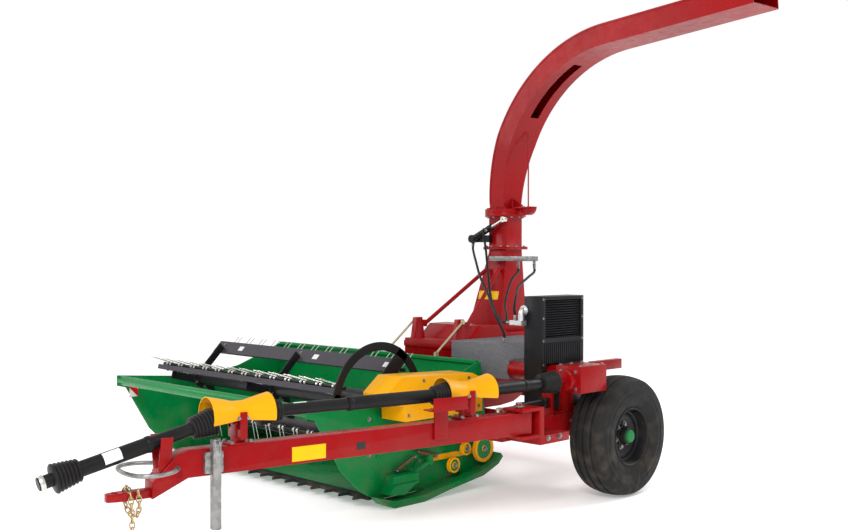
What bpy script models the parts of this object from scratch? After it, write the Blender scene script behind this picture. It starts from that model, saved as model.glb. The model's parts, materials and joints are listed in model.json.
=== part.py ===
"""Trailed forage harvester: red chassis and chopper, green reel header, swinging drawbar and slewing spout.

Metres, +Z up. The machine drives towards -Y, so its left side is +X. While it is modelled, Y = 0 is the
axle and X = 0 is midway between the wheels; the last step moves everything so that the origin is on the
ground under the middle of the bounding box.
"""

import math

import bmesh
import bpy
from mathutils import Matrix, Vector

# ---------------------------------------------------------------- driving dimensions
GAP = 0.0003                    # seats between touching pieces
RUN = 0.006                     # running clearance between moving pieces

TRACK = 2.70                    # wheel centre to wheel centre
TYRE_R = 0.4225                 # 11.5/80-15.3 implement tyre
TYRE_W = 0.290
RIM_R = 0.205
RIM_DISC_X = 0.035              # disc of the wheel, out from the wheel's middle plane
HUB_R = 0.075
AXLE_Z = TYRE_R
AXLE_R = 0.035
AXLE_BEAM = 0.100
FRAME_Z = AXLE_Z + AXLE_BEAM / 2 + GAP   # underside of the frame rails, on the axle
RAIL_BOX = 0.090
RAIL_H = 0.120
OUTER_RAIL = 1.120
INNER_RAIL = 0.880
RIGHT_RAIL = -0.760
FRAME_BACK = 0.920

WORK_WIDTH = 2.40               # between the header's side sheets
HEADER_LEFT = 0.43              # inner face of the header's left side sheet
SHEET = 0.010                   # header sheet with its folded edges
HINGE_Y = -0.185                # header hinge, on the sides of the feed housing
HINGE_Z = 0.620
HINGE_ARM_OUT = 0.060
HINGE_PIN_R = 0.026
REEL_Y = -1.400
REEL_Z = 0.695
REEL_TUBE_R = 0.068
REEL_RING_R = 0.410
REEL_RING_BAND = 0.060
REEL_BATS = 3
REEL_PHASE = 46.0               # angle of the first bat above the rearward horizontal
REEL_END_RUN = 0.045            # reel to side sheet
BAT_WIDTH = 0.120
BOARD_IN = 0.250                # inner edge of a board, from the reel's axis
BOARD_T = 0.016
TINE_BAR_AT = 0.315
TINE_BAR_OUT = 0.034            # tine bar behind its board
TINE_TIP = 0.490
TINE_PITCH = 0.175
STUB_R = 0.030                  # shaft ends of reel and auger
PIN_FIT = 0.0008                # running clearance at pins
SLIDE_FIT = 0.0009
AUGER_Y = -0.760
AUGER_Z = 0.300
AUGER_R = 0.170
AUGER_CORE_R = 0.095
AUGER_PITCH = 0.350
TROUGH_RUN = 0.022              # auger to trough
HEADER_WALL = 0.008
BACK_MID_Y = -0.530
BACK_TOP_Y = -0.475
BACK_TOP_Z = 0.906
GUARD_LEFT = 0.700              # outer face of the belt guard
SKID_W = 0.130
FINGER_PITCH = 0.150
PULLEYS = ((-0.815, 0.200, 0.055), (-0.690, 0.300, 0.045), (-0.500, 0.280, 0.100))
CUT_Y = -1.520
CUT_Z = 0.075
RAIL_Y = -2.060
RAIL_Z = 0.700
RAIL_R = 0.038

FEED_WIDTH = 0.600
CHOPPER_X = -0.270
CHOPPER_TOP = 1.060
FEED_FRONT = -0.250
LUG_X = 0.235
LUG_FOOT_Z = 1.000
LUG_TOP = 1.190
LUG_HALF = 0.022
STRUT_R = 0.017
DUCT_X = -0.245
DUCT_Y = 0.615
DUCT_NECK = 0.200               # square neck under the slewing ring
DUCT_FOOT = (-0.435, -0.075, 0.345, 0.700)   # the duct's foot on the chopper: x, x, y, y
DUCT_STRAIGHT = 0.030
FLANGE_Z = 1.760
RING_Z = 2.060
RING_R = 0.175
VALVE_Z = 1.650
VALVE_RIGHT = 0.490
VALVE_PORTS = (0.050, 0.222)
HOSE_R = 0.010
HOSE_SEAT = 0.0005              # hose end to its fitting
MANIFOLD_LEFT = 0.085
SLEW_BASE_Z = 1.840
MANIFOLD = (0.846, -0.470, 1.210)   # block under the cooler's elbow
SPOUT_YAW = -5.0                # where the parked spout points, from +X
SPOUT_W = 0.300
SPOUT_W_LOW = 0.200             # where it stands on the ring
SPOUT_WIDENS = 0.600            # path length over which it widens
SPOUT_WALL = 0.006
SPOUT_BEND_R = 1.290            # centre line of the arch
SPOUT_BEND_Z = 2.095            # where the arch begins
SPOUT_ARM = 1.300               # straight stretch after the arch
SPOUT_RISE = 3.2                # how far the arm still climbs, in degrees
SPOUT_DEPTH_LOW = 0.175
SPOUT_DEPTH_END = 0.155
FLAP_LENGTH = 0.420
FLAP_CHEEK = 20.0               # wedge of the flap's cheeks

PIVOT_X = 1.360                 # drawbar's vertical pin
PIVOT_Y = -1.100
PIN_R = 0.022
PIN_BACK = 0.110                # pin to the bracket's back plate
DRAWBAR_YAW = 9.5               # how far the parked drawbar is swung towards the header
DRAWBAR_H = 0.140
DRAWBAR_W = 0.110
DRAWBAR_TOP = 0.700
DRAWBAR_LEN = 2.250             # pin to the bend in front
HITCH_REACH = 0.415             # bend to the tongue, forward
HITCH_Z = 0.500
HOOP_Z = 0.620
HOOP_R = 0.0115
DRIVE_Z = 0.855                 # the drive line's height
STAND_FRONT = 1.950             # bearing stands, forward of the pin
STAND_REAR = 0.430
FRONT_SHAFT = 0.950
FRONT_SHAFT_DROP = 14.0
SWING_ARM = 0.190               # drawbar pin to the swing cylinder's eye
SWING_ARM_Z = 0.640             # underside of the drawbar's arm
SWING_EYE_UP = 0.044            # the rod's eye lies over the arm
SWING_POST_Y = -0.560
SHAFT_R = 0.040
BELLOWS_R = 0.078
BELL_AT = 0.080                 # bearing to the wide end of a bellows
CONE_R = 0.106
JACK_AT = 2.120                 # jack, forward of the pin
JACK_TUBE = 0.044
JACK_TOP = 0.725
JACK_TUBE_LOW = 0.290
JACK_LEG_TOP = 0.370
JACK_FOOT = 0.012

GEARBOX_Y = -0.400              # input gearbox, in front of the left wheel
GEARBOX_X = 1.330
SNOUT_Y = GEARBOX_Y - 0.205     # front of its input snout
CROSS_Y = -0.300                # tube from the gearbox across to the chopper's belt
CROSS_R = 0.062
DRIVE_COVER_LEFT = 0.620
DRIVE_COVER_TOP = 1.035
COVER_FRONT = -0.340
COOLER_FRONT = -0.430
COOLER_TOP = 1.405

SEGMENTS = 16
WHEEL_SIDES = 28

WHEEL_X = TRACK / 2
HEADER_HINGE = Vector((0, HINGE_Y, HINGE_Z))
HEADER_RIGHT = HEADER_LEFT - WORK_WIDTH


# ---------------------------------------------------------------- small tools
def material(name, colour, roughness, metallic=0.0):
    made = bpy.data.materials.new(name)
    made.use_nodes = True
    shader = made.node_tree.nodes["Principled BSDF"]
    shader.inputs["Base Color"].default_value = (*colour, 1.0)
    shader.inputs["Roughness"].default_value = roughness
    shader.inputs["Metallic"].default_value = metallic
    made.diffuse_color = (*colour, 1.0)
    return made


def clear_scene():
    for obj in list(bpy.data.objects):
        bpy.data.objects.remove(obj, do_unlink=True)


def empty(name, parent=None, at=(0, 0, 0), turn=(0, 0, 0)):
    """A frame that carries pieces, placed in its parent's own axes."""
    made = bpy.data.objects.new(name, None)
    bpy.context.scene.collection.objects.link(made)
    made.location = at
    made.rotation_euler = turn
    made.parent = parent
    return made


def solid(bm):
    """Closes a shape's orientation, so that its faces point out."""
    bmesh.ops.recalc_face_normals(bm, faces=bm.faces)
    if bm.calc_volume(signed=True) < 0:
        bmesh.ops.reverse_faces(bm, faces=bm.faces)
    return bm


def block(x0, x1, y0, y1, z0, z1):
    bm = bmesh.new()
    bmesh.ops.create_cube(bm, size=1.0)
    for vert in bm.verts:
        vert.co = Vector((
            x0 + (vert.co.x + 0.5) * (x1 - x0),
            y0 + (vert.co.y + 0.5) * (y1 - y0),
            z0 + (vert.co.z + 0.5) * (z1 - z0),
        ))
    return solid(bm)


def prism(outline, axis, low, high):
    """An outline of (u, v) points pushed along an axis: X takes (y, z), Y takes (x, z), Z takes (x, y)."""
    place = {
        "X": lambda u, v, w: Vector((w, u, v)),
        "Y": lambda u, v, w: Vector((u, w, v)),
        "Z": lambda u, v, w: Vector((u, v, w)),
    }[axis]
    bm = bmesh.new()
    face = bm.faces.new([bm.verts.new(place(u, v, low)) for u, v in outline])
    pushed = bmesh.ops.extrude_face_region(bm, geom=[face])
    step = place(0, 0, high - low)
    moved = [g for g in pushed["geom"] if isinstance(g, bmesh.types.BMVert)]
    bmesh.ops.translate(bm, verts=moved, vec=step)
    return solid(bm)


def rod(start, end, radius, radius_end=None, segments=SEGMENTS):
    """A round bar or cone between two points."""
    start, end = Vector(start), Vector(end)
    along = end - start
    bm = bmesh.new()
    bmesh.ops.create_cone(
        bm, cap_ends=True, cap_tris=False, segments=segments, radius1=radius,
        radius2=radius if radius_end is None else radius_end, depth=along.length,
    )
    turn = along.to_track_quat("Z", "Y").to_matrix().to_4x4()
    bmesh.ops.transform(bm, matrix=Matrix.Translation((start + end) / 2) @ turn, verts=bm.verts)
    return solid(bm)


def turned(profile, axis="X", segments=SEGMENTS, at=(0, 0, 0)):
    """A closed (along, radius) profile spun about an axis through a point."""
    bm = bmesh.new()
    edges = []
    verts = [bm.verts.new((r, 0, a)) for a, r in profile]
    for first, second in zip(verts, verts[1:] + verts[:1]):
        edges.append(bm.edges.new((first, second)))
    bmesh.ops.spin(
        bm, geom=verts + edges, cent=(0, 0, 0), axis=(0, 0, 1),
        angle=2 * math.pi, steps=segments, use_merge=True,
    )
    bmesh.ops.remove_doubles(bm, verts=bm.verts, dist=1e-5)
    turn = {
        "X": Matrix.Rotation(math.pi / 2, 4, "Y"),
        "Y": Matrix.Rotation(-math.pi / 2, 4, "X"),
        "Z": Matrix.Identity(4),
    }[axis]
    bmesh.ops.transform(bm, matrix=Matrix.Translation(at) @ turn, verts=bm.verts)
    return solid(bm)


def loft(rings):
    """Closed solid through rings of the same number of points."""
    bm = bmesh.new()
    loops = [[bm.verts.new(p) for p in ring] for ring in rings]
    for low, high in zip(loops, loops[1:]):
        for i in range(len(low)):
            j = (i + 1) % len(low)
            bm.faces.new((low[i], low[j], high[j], high[i]))
    bm.faces.new(loops[0][::-1])
    bm.faces.new(loops[-1])
    return solid(bm)


def moved(bm, matrix):
    bmesh.ops.transform(bm, matrix=matrix, verts=bm.verts)
    return solid(bm)


def helper(bm, name="helper"):
    mesh = bpy.data.meshes.new(name)
    bm.to_mesh(mesh)
    bm.free()
    obj = bpy.data.objects.new(name, mesh)
    bpy.context.scene.collection.objects.link(obj)
    return obj


def boolean(base, others, operation, solver):
    """Joins or cuts a whole list at once, and leaves no helper behind."""
    if not others:
        return
    group = bpy.data.collections.new("operands")
    bpy.context.scene.collection.children.link(group)
    for other in others:
        group.objects.link(other)
    cut = base.modifiers.new(operation.lower(), "BOOLEAN")
    cut.operation = operation
    cut.operand_type = "COLLECTION"
    cut.collection = group
    cut.solver = solver
    graph = bpy.context.evaluated_depsgraph_get()
    mesh = bpy.data.meshes.new_from_object(base.evaluated_get(graph))
    base.modifiers.clear()
    base.data = mesh
    for other in others:
        bpy.data.objects.remove(other, do_unlink=True)
    bpy.data.collections.remove(group)


def piece(name, finish, carrier, shapes, cuts=(), smooth=True, solver="EXACT"):
    """One named node: its shapes joined, its cuts taken away, carried by an empty."""
    parts = [helper(shape) for shape in shapes]
    base = parts[0]
    base.name = name
    boolean(base, parts[1:], "UNION", solver)
    boolean(base, [helper(shape) for shape in cuts], "DIFFERENCE", solver)
    base.data.name = name
    base.data.materials.clear()
    base.data.materials.append(finish)
    if smooth:
        base.data.shade_smooth()
        base.data.set_sharp_from_angle(angle=math.radians(35))
    if carrier.get("in_machine_axes"):
        base.data.transform(Matrix.Translation(-carrier.location))
    base.parent = carrier
    return base


def polar(radius, degrees):
    angle = math.radians(degrees)
    return radius * math.cos(angle), radius * math.sin(angle)


# ---------------------------------------------------------------- finishes
def finishes():
    return {
        "red": material("red_paint", (0.55, 0.010, 0.018), 0.30),
        "green": material("green_paint", (0.004, 0.24, 0.075), 0.32),
        "yellow": material("yellow_guard", (0.85, 0.42, 0.004), 0.38),
        "black": material("black_paint", (0.022, 0.021, 0.023), 0.45),
        "grey": material("grey_sheet", (0.20, 0.19, 0.20), 0.60),
        "board": material("dark_grey_board", (0.085, 0.08, 0.09), 0.40),
        "plastic": material("black_plastic", (0.016, 0.015, 0.016), 0.45),
        "steel": material("zinc_steel", (0.46, 0.45, 0.41), 0.38, 0.9),
        "beige": material("beige_rod", (0.62, 0.55, 0.40), 0.45),
        "tyre": material("tyre_rubber", (0.018, 0.016, 0.016), 0.75),
        "hose": material("hose_rubber", (0.014, 0.014, 0.015), 0.55),
    }


# ---------------------------------------------------------------- wheels
def wheel(side, sign, carrier, paint):
    """Tyre and rim on one hub. Their own frame has X along the axle, outwards on the left wheel."""
    half = TYRE_W / 2
    shoulder = half * 0.80
    wall_r = RIM_R + (TYRE_R - RIM_R) * 0.42
    tyre = [
        (-shoulder, RIM_R + GAP), (-half, wall_r), (-half * 0.96, TYRE_R * 0.86),
        (-shoulder, TYRE_R * 0.955), (-half * 0.45, TYRE_R * 0.996), (0.0, TYRE_R),
        (half * 0.45, TYRE_R * 0.996), (shoulder, TYRE_R * 0.955), (half * 0.96, TYRE_R * 0.86),
        (half, wall_r), (shoulder, RIM_R + GAP),
    ]
    piece("tyre_" + side, paint["tyre"], carrier, [turned(tyre, "X", WHEEL_SIDES)])
    rim_wall = 0.012
    disc = RIM_DISC_X * sign
    rim = [
        (-shoulder - 0.004, RIM_R), (shoulder + 0.004, RIM_R), (shoulder + 0.004, RIM_R - rim_wall),
        (-shoulder - 0.004, RIM_R - rim_wall),
    ]
    plate = [(disc - 0.008, AXLE_R + PIN_FIT), (disc + 0.008, AXLE_R + PIN_FIT), (disc + 0.008, RIM_R - 0.004),
             (disc - 0.008, RIM_R - 0.004)]
    hub_in, hub_out = disc - 0.110 * sign, disc + 0.060 * sign
    hub = [(hub_in, AXLE_R + PIN_FIT), (hub_out, AXLE_R + PIN_FIT), (hub_out, HUB_R * 0.72),
           (disc + 0.012 * sign, HUB_R), (hub_in, HUB_R)]
    cap_in = hub_out - 0.010 * sign
    cap = [(cap_in, 0.0), (hub_out + 0.020 * sign, 0.0), (hub_out + 0.020 * sign, 0.030), (cap_in, 0.050)]
    piece("wheel_rim_" + side, paint["black"], carrier,
          [turned(rim, "X", WHEEL_SIDES), turned(plate, "X", WHEEL_SIDES), turned(hub, "X"),
           turned(cap, "X")])


# ---------------------------------------------------------------- chassis
def chassis(root, paint):
    """The axle beam and, on top of it, a ladder frame whose left arm reaches forward to the drawbar."""
    beam = AXLE_BEAM / 2
    axle_end = WHEEL_X + RIM_DISC_X + 0.040
    stub_in = WHEEL_X - 0.160
    piece("axle", paint["red"], root, [
        block(-stub_in, stub_in, -beam, beam, AXLE_Z - beam, AXLE_Z + beam),
        rod((-axle_end, 0, AXLE_Z), (axle_end, 0, AXLE_Z), AXLE_R),
    ])
    half = RAIL_BOX / 2
    low, high = FRAME_Z, FRAME_Z + RAIL_H
    front = PIVOT_Y + 0.060
    swing_z = SWING_ARM_Z + SWING_EYE_UP
    piece("main_frame", paint["red"], root, [
        block(OUTER_RAIL - half, OUTER_RAIL + half, front, 0.200, low, high),
        block(INNER_RAIL - half, INNER_RAIL + half, front, FRAME_BACK, low, high),
        block(RIGHT_RAIL - half, RIGHT_RAIL + half, -0.060, FRAME_BACK, low, high),
        block(INNER_RAIL - half, OUTER_RAIL + half, front, front + RAIL_BOX, low, high),
        block(INNER_RAIL - half, OUTER_RAIL + half, 0.110, 0.200, low, high),
        block(RIGHT_RAIL - half, INNER_RAIL + half, FRAME_BACK - RAIL_BOX, FRAME_BACK, low, high),
        block(OUTER_RAIL - 0.040, OUTER_RAIL + 0.040, SWING_POST_Y - 0.045, SWING_POST_Y + 0.070,
              high - 0.010, swing_z - 0.034 - GAP),
        block(OUTER_RAIL - 0.040, OUTER_RAIL + 0.040, SWING_POST_Y + 0.036, SWING_POST_Y + 0.070,
              high - 0.010, swing_z + 0.090),
        block(1.100, 1.150, -0.020, 0.330, 0.857, 0.927),
        block(1.095, 1.155, 0.020, 0.080, high - 0.010, 0.870),
    ])


def pin_bracket(root, paint):
    """Two ears that hold the drawbar's vertical pin, on the left of the frame's front arm."""
    ear = 0.020
    low = DRAWBAR_TOP - DRAWBAR_H - RUN
    high = DRAWBAR_TOP + RUN
    width = 0.085
    back = PIVOT_Y + PIN_BACK
    rail_face = OUTER_RAIL + RAIL_BOX / 2 + GAP
    seat_z = FRAME_Z + 0.010
    piece("pin_bracket", paint["red"], root, [
        block(PIVOT_X - width, PIVOT_X + width, PIVOT_Y - 0.060, back + 0.040, low - ear, low),
        block(PIVOT_X - width, PIVOT_X + width, PIVOT_Y - 0.060, back + 0.040, high, high + ear),
        block(PIVOT_X - width, PIVOT_X + width, back, back + 0.040, low - ear, high + ear),
        block(rail_face, PIVOT_X + width, back, back + 0.300, seat_z, low - ear + 0.005),
        rod((PIVOT_X, PIVOT_Y, low - ear - 0.020), (PIVOT_X, PIVOT_Y, high + ear + 0.030), PIN_R),
    ])


def duct_front(z):
    """Y of the sloping front face of the discharge duct at a height."""
    share = (z - CHOPPER_TOP) / (FLANGE_Z - DUCT_STRAIGHT - CHOPPER_TOP)
    foot = DUCT_FOOT[2]
    return foot + (DUCT_Y - DUCT_NECK / 2 - foot) * share


def lug_back(z):
    """Y of the back face of the lugs on the feed housing at a height."""
    share = (z - LUG_FOOT_Z) / (LUG_TOP - LUG_FOOT_Z)
    return -0.120 - 0.030 * share


def chopper(root, paint):
    half = FEED_WIDTH / 2
    x0, x1 = CHOPPER_X - half, CHOPPER_X + half
    seat = FRAME_Z
    drum_y, drum_z, drum_r = 0.320, 0.800, 0.320
    arc = [(drum_y + polar(drum_r, a)[0], drum_z + polar(drum_r, a)[1]) for a in range(-75, 16, 15)]
    duct_back = DUCT_Y + 0.205
    outline = [(-0.108, seat), (0.240, seat)] + [p for p in arc if p[1] > seat + 0.005] + [
        (duct_back, 0.960), (duct_back, CHOPPER_TOP), (0.330, CHOPPER_TOP),
        (0.230, CHOPPER_TOP + 0.070), (0.020, CHOPPER_TOP + 0.070), (-0.108, CHOPPER_TOP - 0.040),
    ]
    piece("chopper_housing", paint["red"], root, [
        prism(outline, "X", x0, x1),
        rod((x0 - 0.050, drum_y, drum_z), (x0 + 0.010, drum_y, drum_z), 0.095),
    ])
    feed = [
        block(x0 - 0.020, x1 - 0.003, FEED_FRONT, -0.108 - GAP, 0.360, 1.020),
        block(x0 - 0.020, x1 - 0.003, FEED_FRONT - 0.012, -0.108 - GAP, 0.955, 1.000),
        rod((x0 - HINGE_ARM_OUT, HINGE_Y, HINGE_Z), (x1 + HINGE_ARM_OUT, HINGE_Y, HINGE_Z), HINGE_PIN_R),
    ]
    for x in (CHOPPER_X - LUG_X, CHOPPER_X + LUG_X):
        feed.append(prism([(-0.250, LUG_FOOT_Z), (lug_back(LUG_FOOT_Z), LUG_FOOT_Z),
                           (lug_back(LUG_TOP), LUG_TOP), (-0.215, LUG_TOP)], "X", x - LUG_HALF, x + LUG_HALF))
    piece("feed_housing", paint["red"], root, feed)

    neck = DUCT_NECK / 2
    rings = []
    for z, xa, xb, ya, yb in (
        (CHOPPER_TOP + GAP, *DUCT_FOOT),
        (FLANGE_Z - DUCT_STRAIGHT, DUCT_X - neck, DUCT_X + neck, DUCT_Y - neck, DUCT_Y + neck),
        (FLANGE_Z, DUCT_X - neck, DUCT_X + neck, DUCT_Y - neck, DUCT_Y + neck),
    ):
        rings.append([(xa, ya, z), (xb, ya, z), (xb, yb, z), (xa, yb, z)])
    rim = neck + 0.035
    lip = 0.012
    piece("discharge_duct", paint["red"], root, [
        loft(rings),
        block(DUCT_X - rim, DUCT_X + rim, DUCT_Y - rim, DUCT_Y + rim, FLANGE_Z - lip, FLANGE_Z),
    ])
    piece("duct_neck", paint["red"], root, [
        block(DUCT_X - neck, DUCT_X + neck, DUCT_Y - neck, DUCT_Y + neck, FLANGE_Z + GAP, RING_Z - 0.020),
        block(DUCT_X - rim, DUCT_X + rim, DUCT_Y - rim, DUCT_Y + rim, FLANGE_Z + GAP, FLANGE_Z + lip),
        rod((DUCT_X, DUCT_Y, RING_Z - 0.035), (DUCT_X, DUCT_Y, RING_Z), RING_R, segments=32),
    ])
    for name, x in (("duct_strut_left", CHOPPER_X + LUG_X), ("duct_strut_right", CHOPPER_X - LUG_X)):
        low_z, high_z = 1.110, 1.165
        eye_y = lug_back(low_z) + 0.045
        foot = Vector((x, eye_y, (low_z + high_z) / 2))
        head_z = 1.580
        head = Vector((DUCT_X + (x - CHOPPER_X) * 0.30, duct_front(head_z) - STRUT_R * 1.35, head_z))
        piece(name, paint["red"], root, [
            rod(foot, head, STRUT_R, segments=12),
            prism([(lug_back(low_z) + 2 * GAP, low_z), (eye_y, low_z), (eye_y, high_z),
                   (lug_back(high_z) + 2 * GAP, high_z)], "X", x - 0.020, x + 0.020),
        ])


def drive(root, paint):
    """Input gearbox in front of the left wheel, its cross tube, and the belt cover beside the chopper."""
    box = 0.105
    front, back = GEARBOX_Y - 0.150, GEARBOX_Y + 0.140
    foot = DRIVE_Z - 0.085
    tube_in = DRIVE_COVER_LEFT + GAP
    post = 0.035
    piece("input_gearbox", paint["red"], root, [
        block(GEARBOX_X - box, GEARBOX_X + box, front, back, foot, DRIVE_Z + 0.095),
        rod((GEARBOX_X, SNOUT_Y, DRIVE_Z), (GEARBOX_X, front + 0.020, DRIVE_Z), 0.070),
        rod((GEARBOX_X, SNOUT_Y - 0.035, DRIVE_Z), (GEARBOX_X, front, DRIVE_Z), 0.016, segments=12),
        rod((GEARBOX_X, SNOUT_Y - 0.035, DRIVE_Z - 0.0335), (GEARBOX_X, SNOUT_Y - 0.035, DRIVE_Z + 0.0335),
            0.014, segments=12),
        rod((GEARBOX_X - 0.050, CROSS_Y, DRIVE_Z), (tube_in, CROSS_Y, DRIVE_Z), CROSS_R),
        block(OUTER_RAIL - post, OUTER_RAIL + post, CROSS_Y - post, CROSS_Y + post,
              FRAME_Z + RAIL_H + GAP, DRIVE_Z),
        block(OUTER_RAIL - post, OUTER_RAIL + post, CROSS_Y - 0.160, CROSS_Y + post,
              FRAME_Z + RAIL_H + GAP, FRAME_Z + RAIL_H + 0.012),
    ])
    x1 = CHOPPER_X + FEED_WIDTH / 2 + GAP
    cover = [(x1, 0.780), (DRIVE_COVER_LEFT, 0.780), (DRIVE_COVER_LEFT, DRIVE_COVER_TOP - 0.105),
             (DRIVE_COVER_LEFT - 0.120, DRIVE_COVER_TOP), (x1, DRIVE_COVER_TOP)]
    piece("drive_cover", paint["grey"], root, [prism(cover, "Y", COVER_FRONT, 0.460)])
    # louvred oil cooler, standing on the inner rail and notched over the cross tube
    cooler_x0, cooler_x1 = 0.840, 1.000
    notch = CROSS_R + 0.010
    piece("oil_cooler", paint["black"], root,
          [block(cooler_x0, cooler_x1, COOLER_FRONT, COOLER_FRONT + 0.490, FRAME_Z + RAIL_H + GAP,
                 COOLER_TOP)],
          cuts=[
              block(cooler_x0 - 0.05, cooler_x1 + 0.05, CROSS_Y - notch, CROSS_Y + notch,
                    FRAME_Z, DRIVE_Z + notch),
              block(cooler_x1 - 0.025, cooler_x1 + 0.05, COOLER_FRONT + 0.045, COOLER_FRONT + 0.460,
                    COOLER_TOP - 0.300, COOLER_TOP - 0.025),
          ])


def slew_drive(root, paint):
    """The cylinder that turns the spout, and its valve block, both on the front of the duct."""
    front = DUCT_Y - DUCT_NECK / 2
    low = Vector((DUCT_X - 0.230, front - 0.060, SLEW_BASE_Z))
    high = Vector((DUCT_X + 0.120, front - 0.060, RING_Z - 0.060))
    joint = low.lerp(high, 0.62)
    piece("slew_cylinder", paint["plastic"], root, [
        rod(low, joint, 0.028),
        rod(joint.lerp(low, 0.05), high, 0.014, segments=12),
        rod(high - Vector((0, 0.018, 0)), high + Vector((0, 0.018, 0)), 0.024, segments=16),
        rod(low - Vector((0, 0.030, 0)), low + Vector((0, 0.030, 0)), 0.034),
        block(low.x - 0.015, DUCT_X - DUCT_NECK / 2 + 0.040, front - 0.045, front - GAP,
              low.z - 0.030, low.z + 0.030),
    ])
    valve_x = DUCT_X + VALVE_RIGHT
    shapes = [
        block(DUCT_X - 0.010, valve_x, front - 0.100, front - 0.060, VALVE_Z, VALVE_Z + 0.040),
        block(DUCT_X + 0.020, DUCT_X + 0.080, front - 0.070, duct_front(VALVE_Z + 0.006) - GAP,
              VALVE_Z + 0.006, VALVE_Z + 0.034),
    ]
    for x in VALVE_PORTS:
        shapes.append(rod((x, front - 0.080, VALVE_Z - 0.025), (x, front - 0.080, VALVE_Z + 0.010),
                          0.012, segments=12))
    piece("valve_block", paint["steel"], root, shapes)


def smooth_route(points, step):
    """Points read from a smooth curve through the route's own points, one every step metres or so."""
    points = [Vector(p) for p in points]
    padded = [points[0] * 2 - points[1]] + points + [points[-1] * 2 - points[-2]]
    route = []
    for a, b, c, d in zip(padded, padded[1:], padded[2:], padded[3:]):
        count = max(1, round((c - b).length / step))
        for i in range(count):
            t = i / count
            route.append(0.5 * (2 * b + (c - a) * t + (2 * a - 5 * b + 4 * c - d) * t * t
                                + (3 * b - a - 3 * c + d) * t ** 3))
    return route + [points[-1]]


def hose(name, points, radius, carrier, finish, step=0.080):
    route = smooth_route(points, step)
    curve = bpy.data.curves.new(name, "CURVE")
    curve.dimensions = "3D"
    curve.bevel_depth = radius
    curve.bevel_resolution = 2
    curve.use_fill_caps = True
    spline = curve.splines.new("POLY")
    spline.points.add(len(route) - 1)
    for point, place in zip(spline.points, route):
        point.co = (*place, 1.0)
    curve.materials.append(finish)
    obj = bpy.data.objects.new(name, curve)
    bpy.context.scene.collection.objects.link(obj)
    obj.parent = carrier
    return obj


def hoses(root, paint):
    """Four hydraulic hoses, held at both ends: valve to manifold, and slewing cylinder to below."""
    front = DUCT_Y - DUCT_NECK / 2
    port_y, port_z = front - 0.080, VALVE_Z - 0.025 - HOSE_SEAT
    near, far = VALVE_PORTS
    # the manifold under the elbow on the cooler's front face
    x, y, z = MANIFOLD
    rise = 0.095
    piece("cooler_elbow", paint["steel"], root, [
        rod((x, y, z), (x, y, z + rise + 0.018), 0.022, segments=16),
        rod((x, y, z + rise), (x, COOLER_FRONT - GAP, z + rise), 0.022, segments=16),
        rod((x, COOLER_FRONT - 0.014, z + rise), (x, COOLER_FRONT - GAP, z + rise), 0.036, segments=16),
        block(x - MANIFOLD_LEFT, x + 0.026, y - 0.030, y + 0.030, z - 0.012, z + 0.022),
    ])
    left = x - MANIFOLD_LEFT - HOSE_SEAT
    port_x = x - MANIFOLD_LEFT + 0.028
    hose("hose_valve_near", [
        (near, port_y, port_z), (near, port_y, port_z - 0.060), (0.150, 0.240, 1.500),
        (0.300, 0.010, 1.405), (0.450, -0.190, 1.318), (0.620, -0.370, 1.262),
        (left - 0.060, y + 0.014, z + 0.004), (left, y + 0.014, z + 0.004),
    ], HOSE_R, root, paint["hose"])
    hose("hose_valve_far", [
        (far, port_y, port_z), (far, port_y, port_z - 0.060), (0.330, 0.240, 1.530),
        (0.470, -0.040, 1.470), (0.620, -0.250, 1.435), (0.730, -0.390, 1.395),
        (port_x - 0.008, y, z + 0.110), (port_x, y, z + 0.060), (port_x, y, z + 0.022 + HOSE_SEAT),
    ], HOSE_R, root, paint["hose"])
    base_x, base_y = DUCT_X - 0.230, front - 0.060
    base_z = SLEW_BASE_Z - 0.034 - HOSE_SEAT
    hose("hose_cylinder_base", [
        (base_x, base_y, base_z), (base_x, base_y, base_z - 0.060), (-0.270, 0.270, 1.640),
        (-0.040, 0.070, 1.520), (0.220, -0.130, 1.400), (0.480, -0.340, 1.280), (0.640, -0.450, 1.222),
        (left - 0.060, y - 0.014, z + 0.004), (left, y - 0.014, z + 0.004),
    ], HOSE_R, root, paint["hose"])
    cover_x, cover_y = 0.450, -0.200
    rod_port = (DUCT_X - 0.050, base_y - 0.028 - HOSE_SEAT, SLEW_BASE_Z + 0.068)
    hose("hose_cylinder_rod", [
        rod_port, (rod_port[0], rod_port[1] - 0.040, rod_port[2]), (-0.190, 0.300, 1.760),
        (-0.060, 0.180, 1.600), (0.120, 0.010, 1.400), (0.260, -0.100, 1.260), (0.390, -0.180, 1.170),
        (cover_x, cover_y, DRIVE_COVER_TOP + 0.070), (cover_x, cover_y, DRIVE_COVER_TOP + HOSE_SEAT),
    ], HOSE_R, root, paint["hose"])


# ---------------------------------------------------------------- drawbar
def guard_arch(stations, wall):
    """A hood over a shaft: an arch of varying radius that is open below."""
    steps = 14
    angles = [-20 + i * (220 / steps) for i in range(steps + 1)]
    rings = []
    for at, radius in stations:
        outer = [polar(radius, a) for a in angles]
        inner = [polar(radius - wall, a) for a in reversed(angles)]
        rings.append([(x, -at, DRIVE_Z + z) for x, z in outer + inner])
    return loft(rings)


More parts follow.
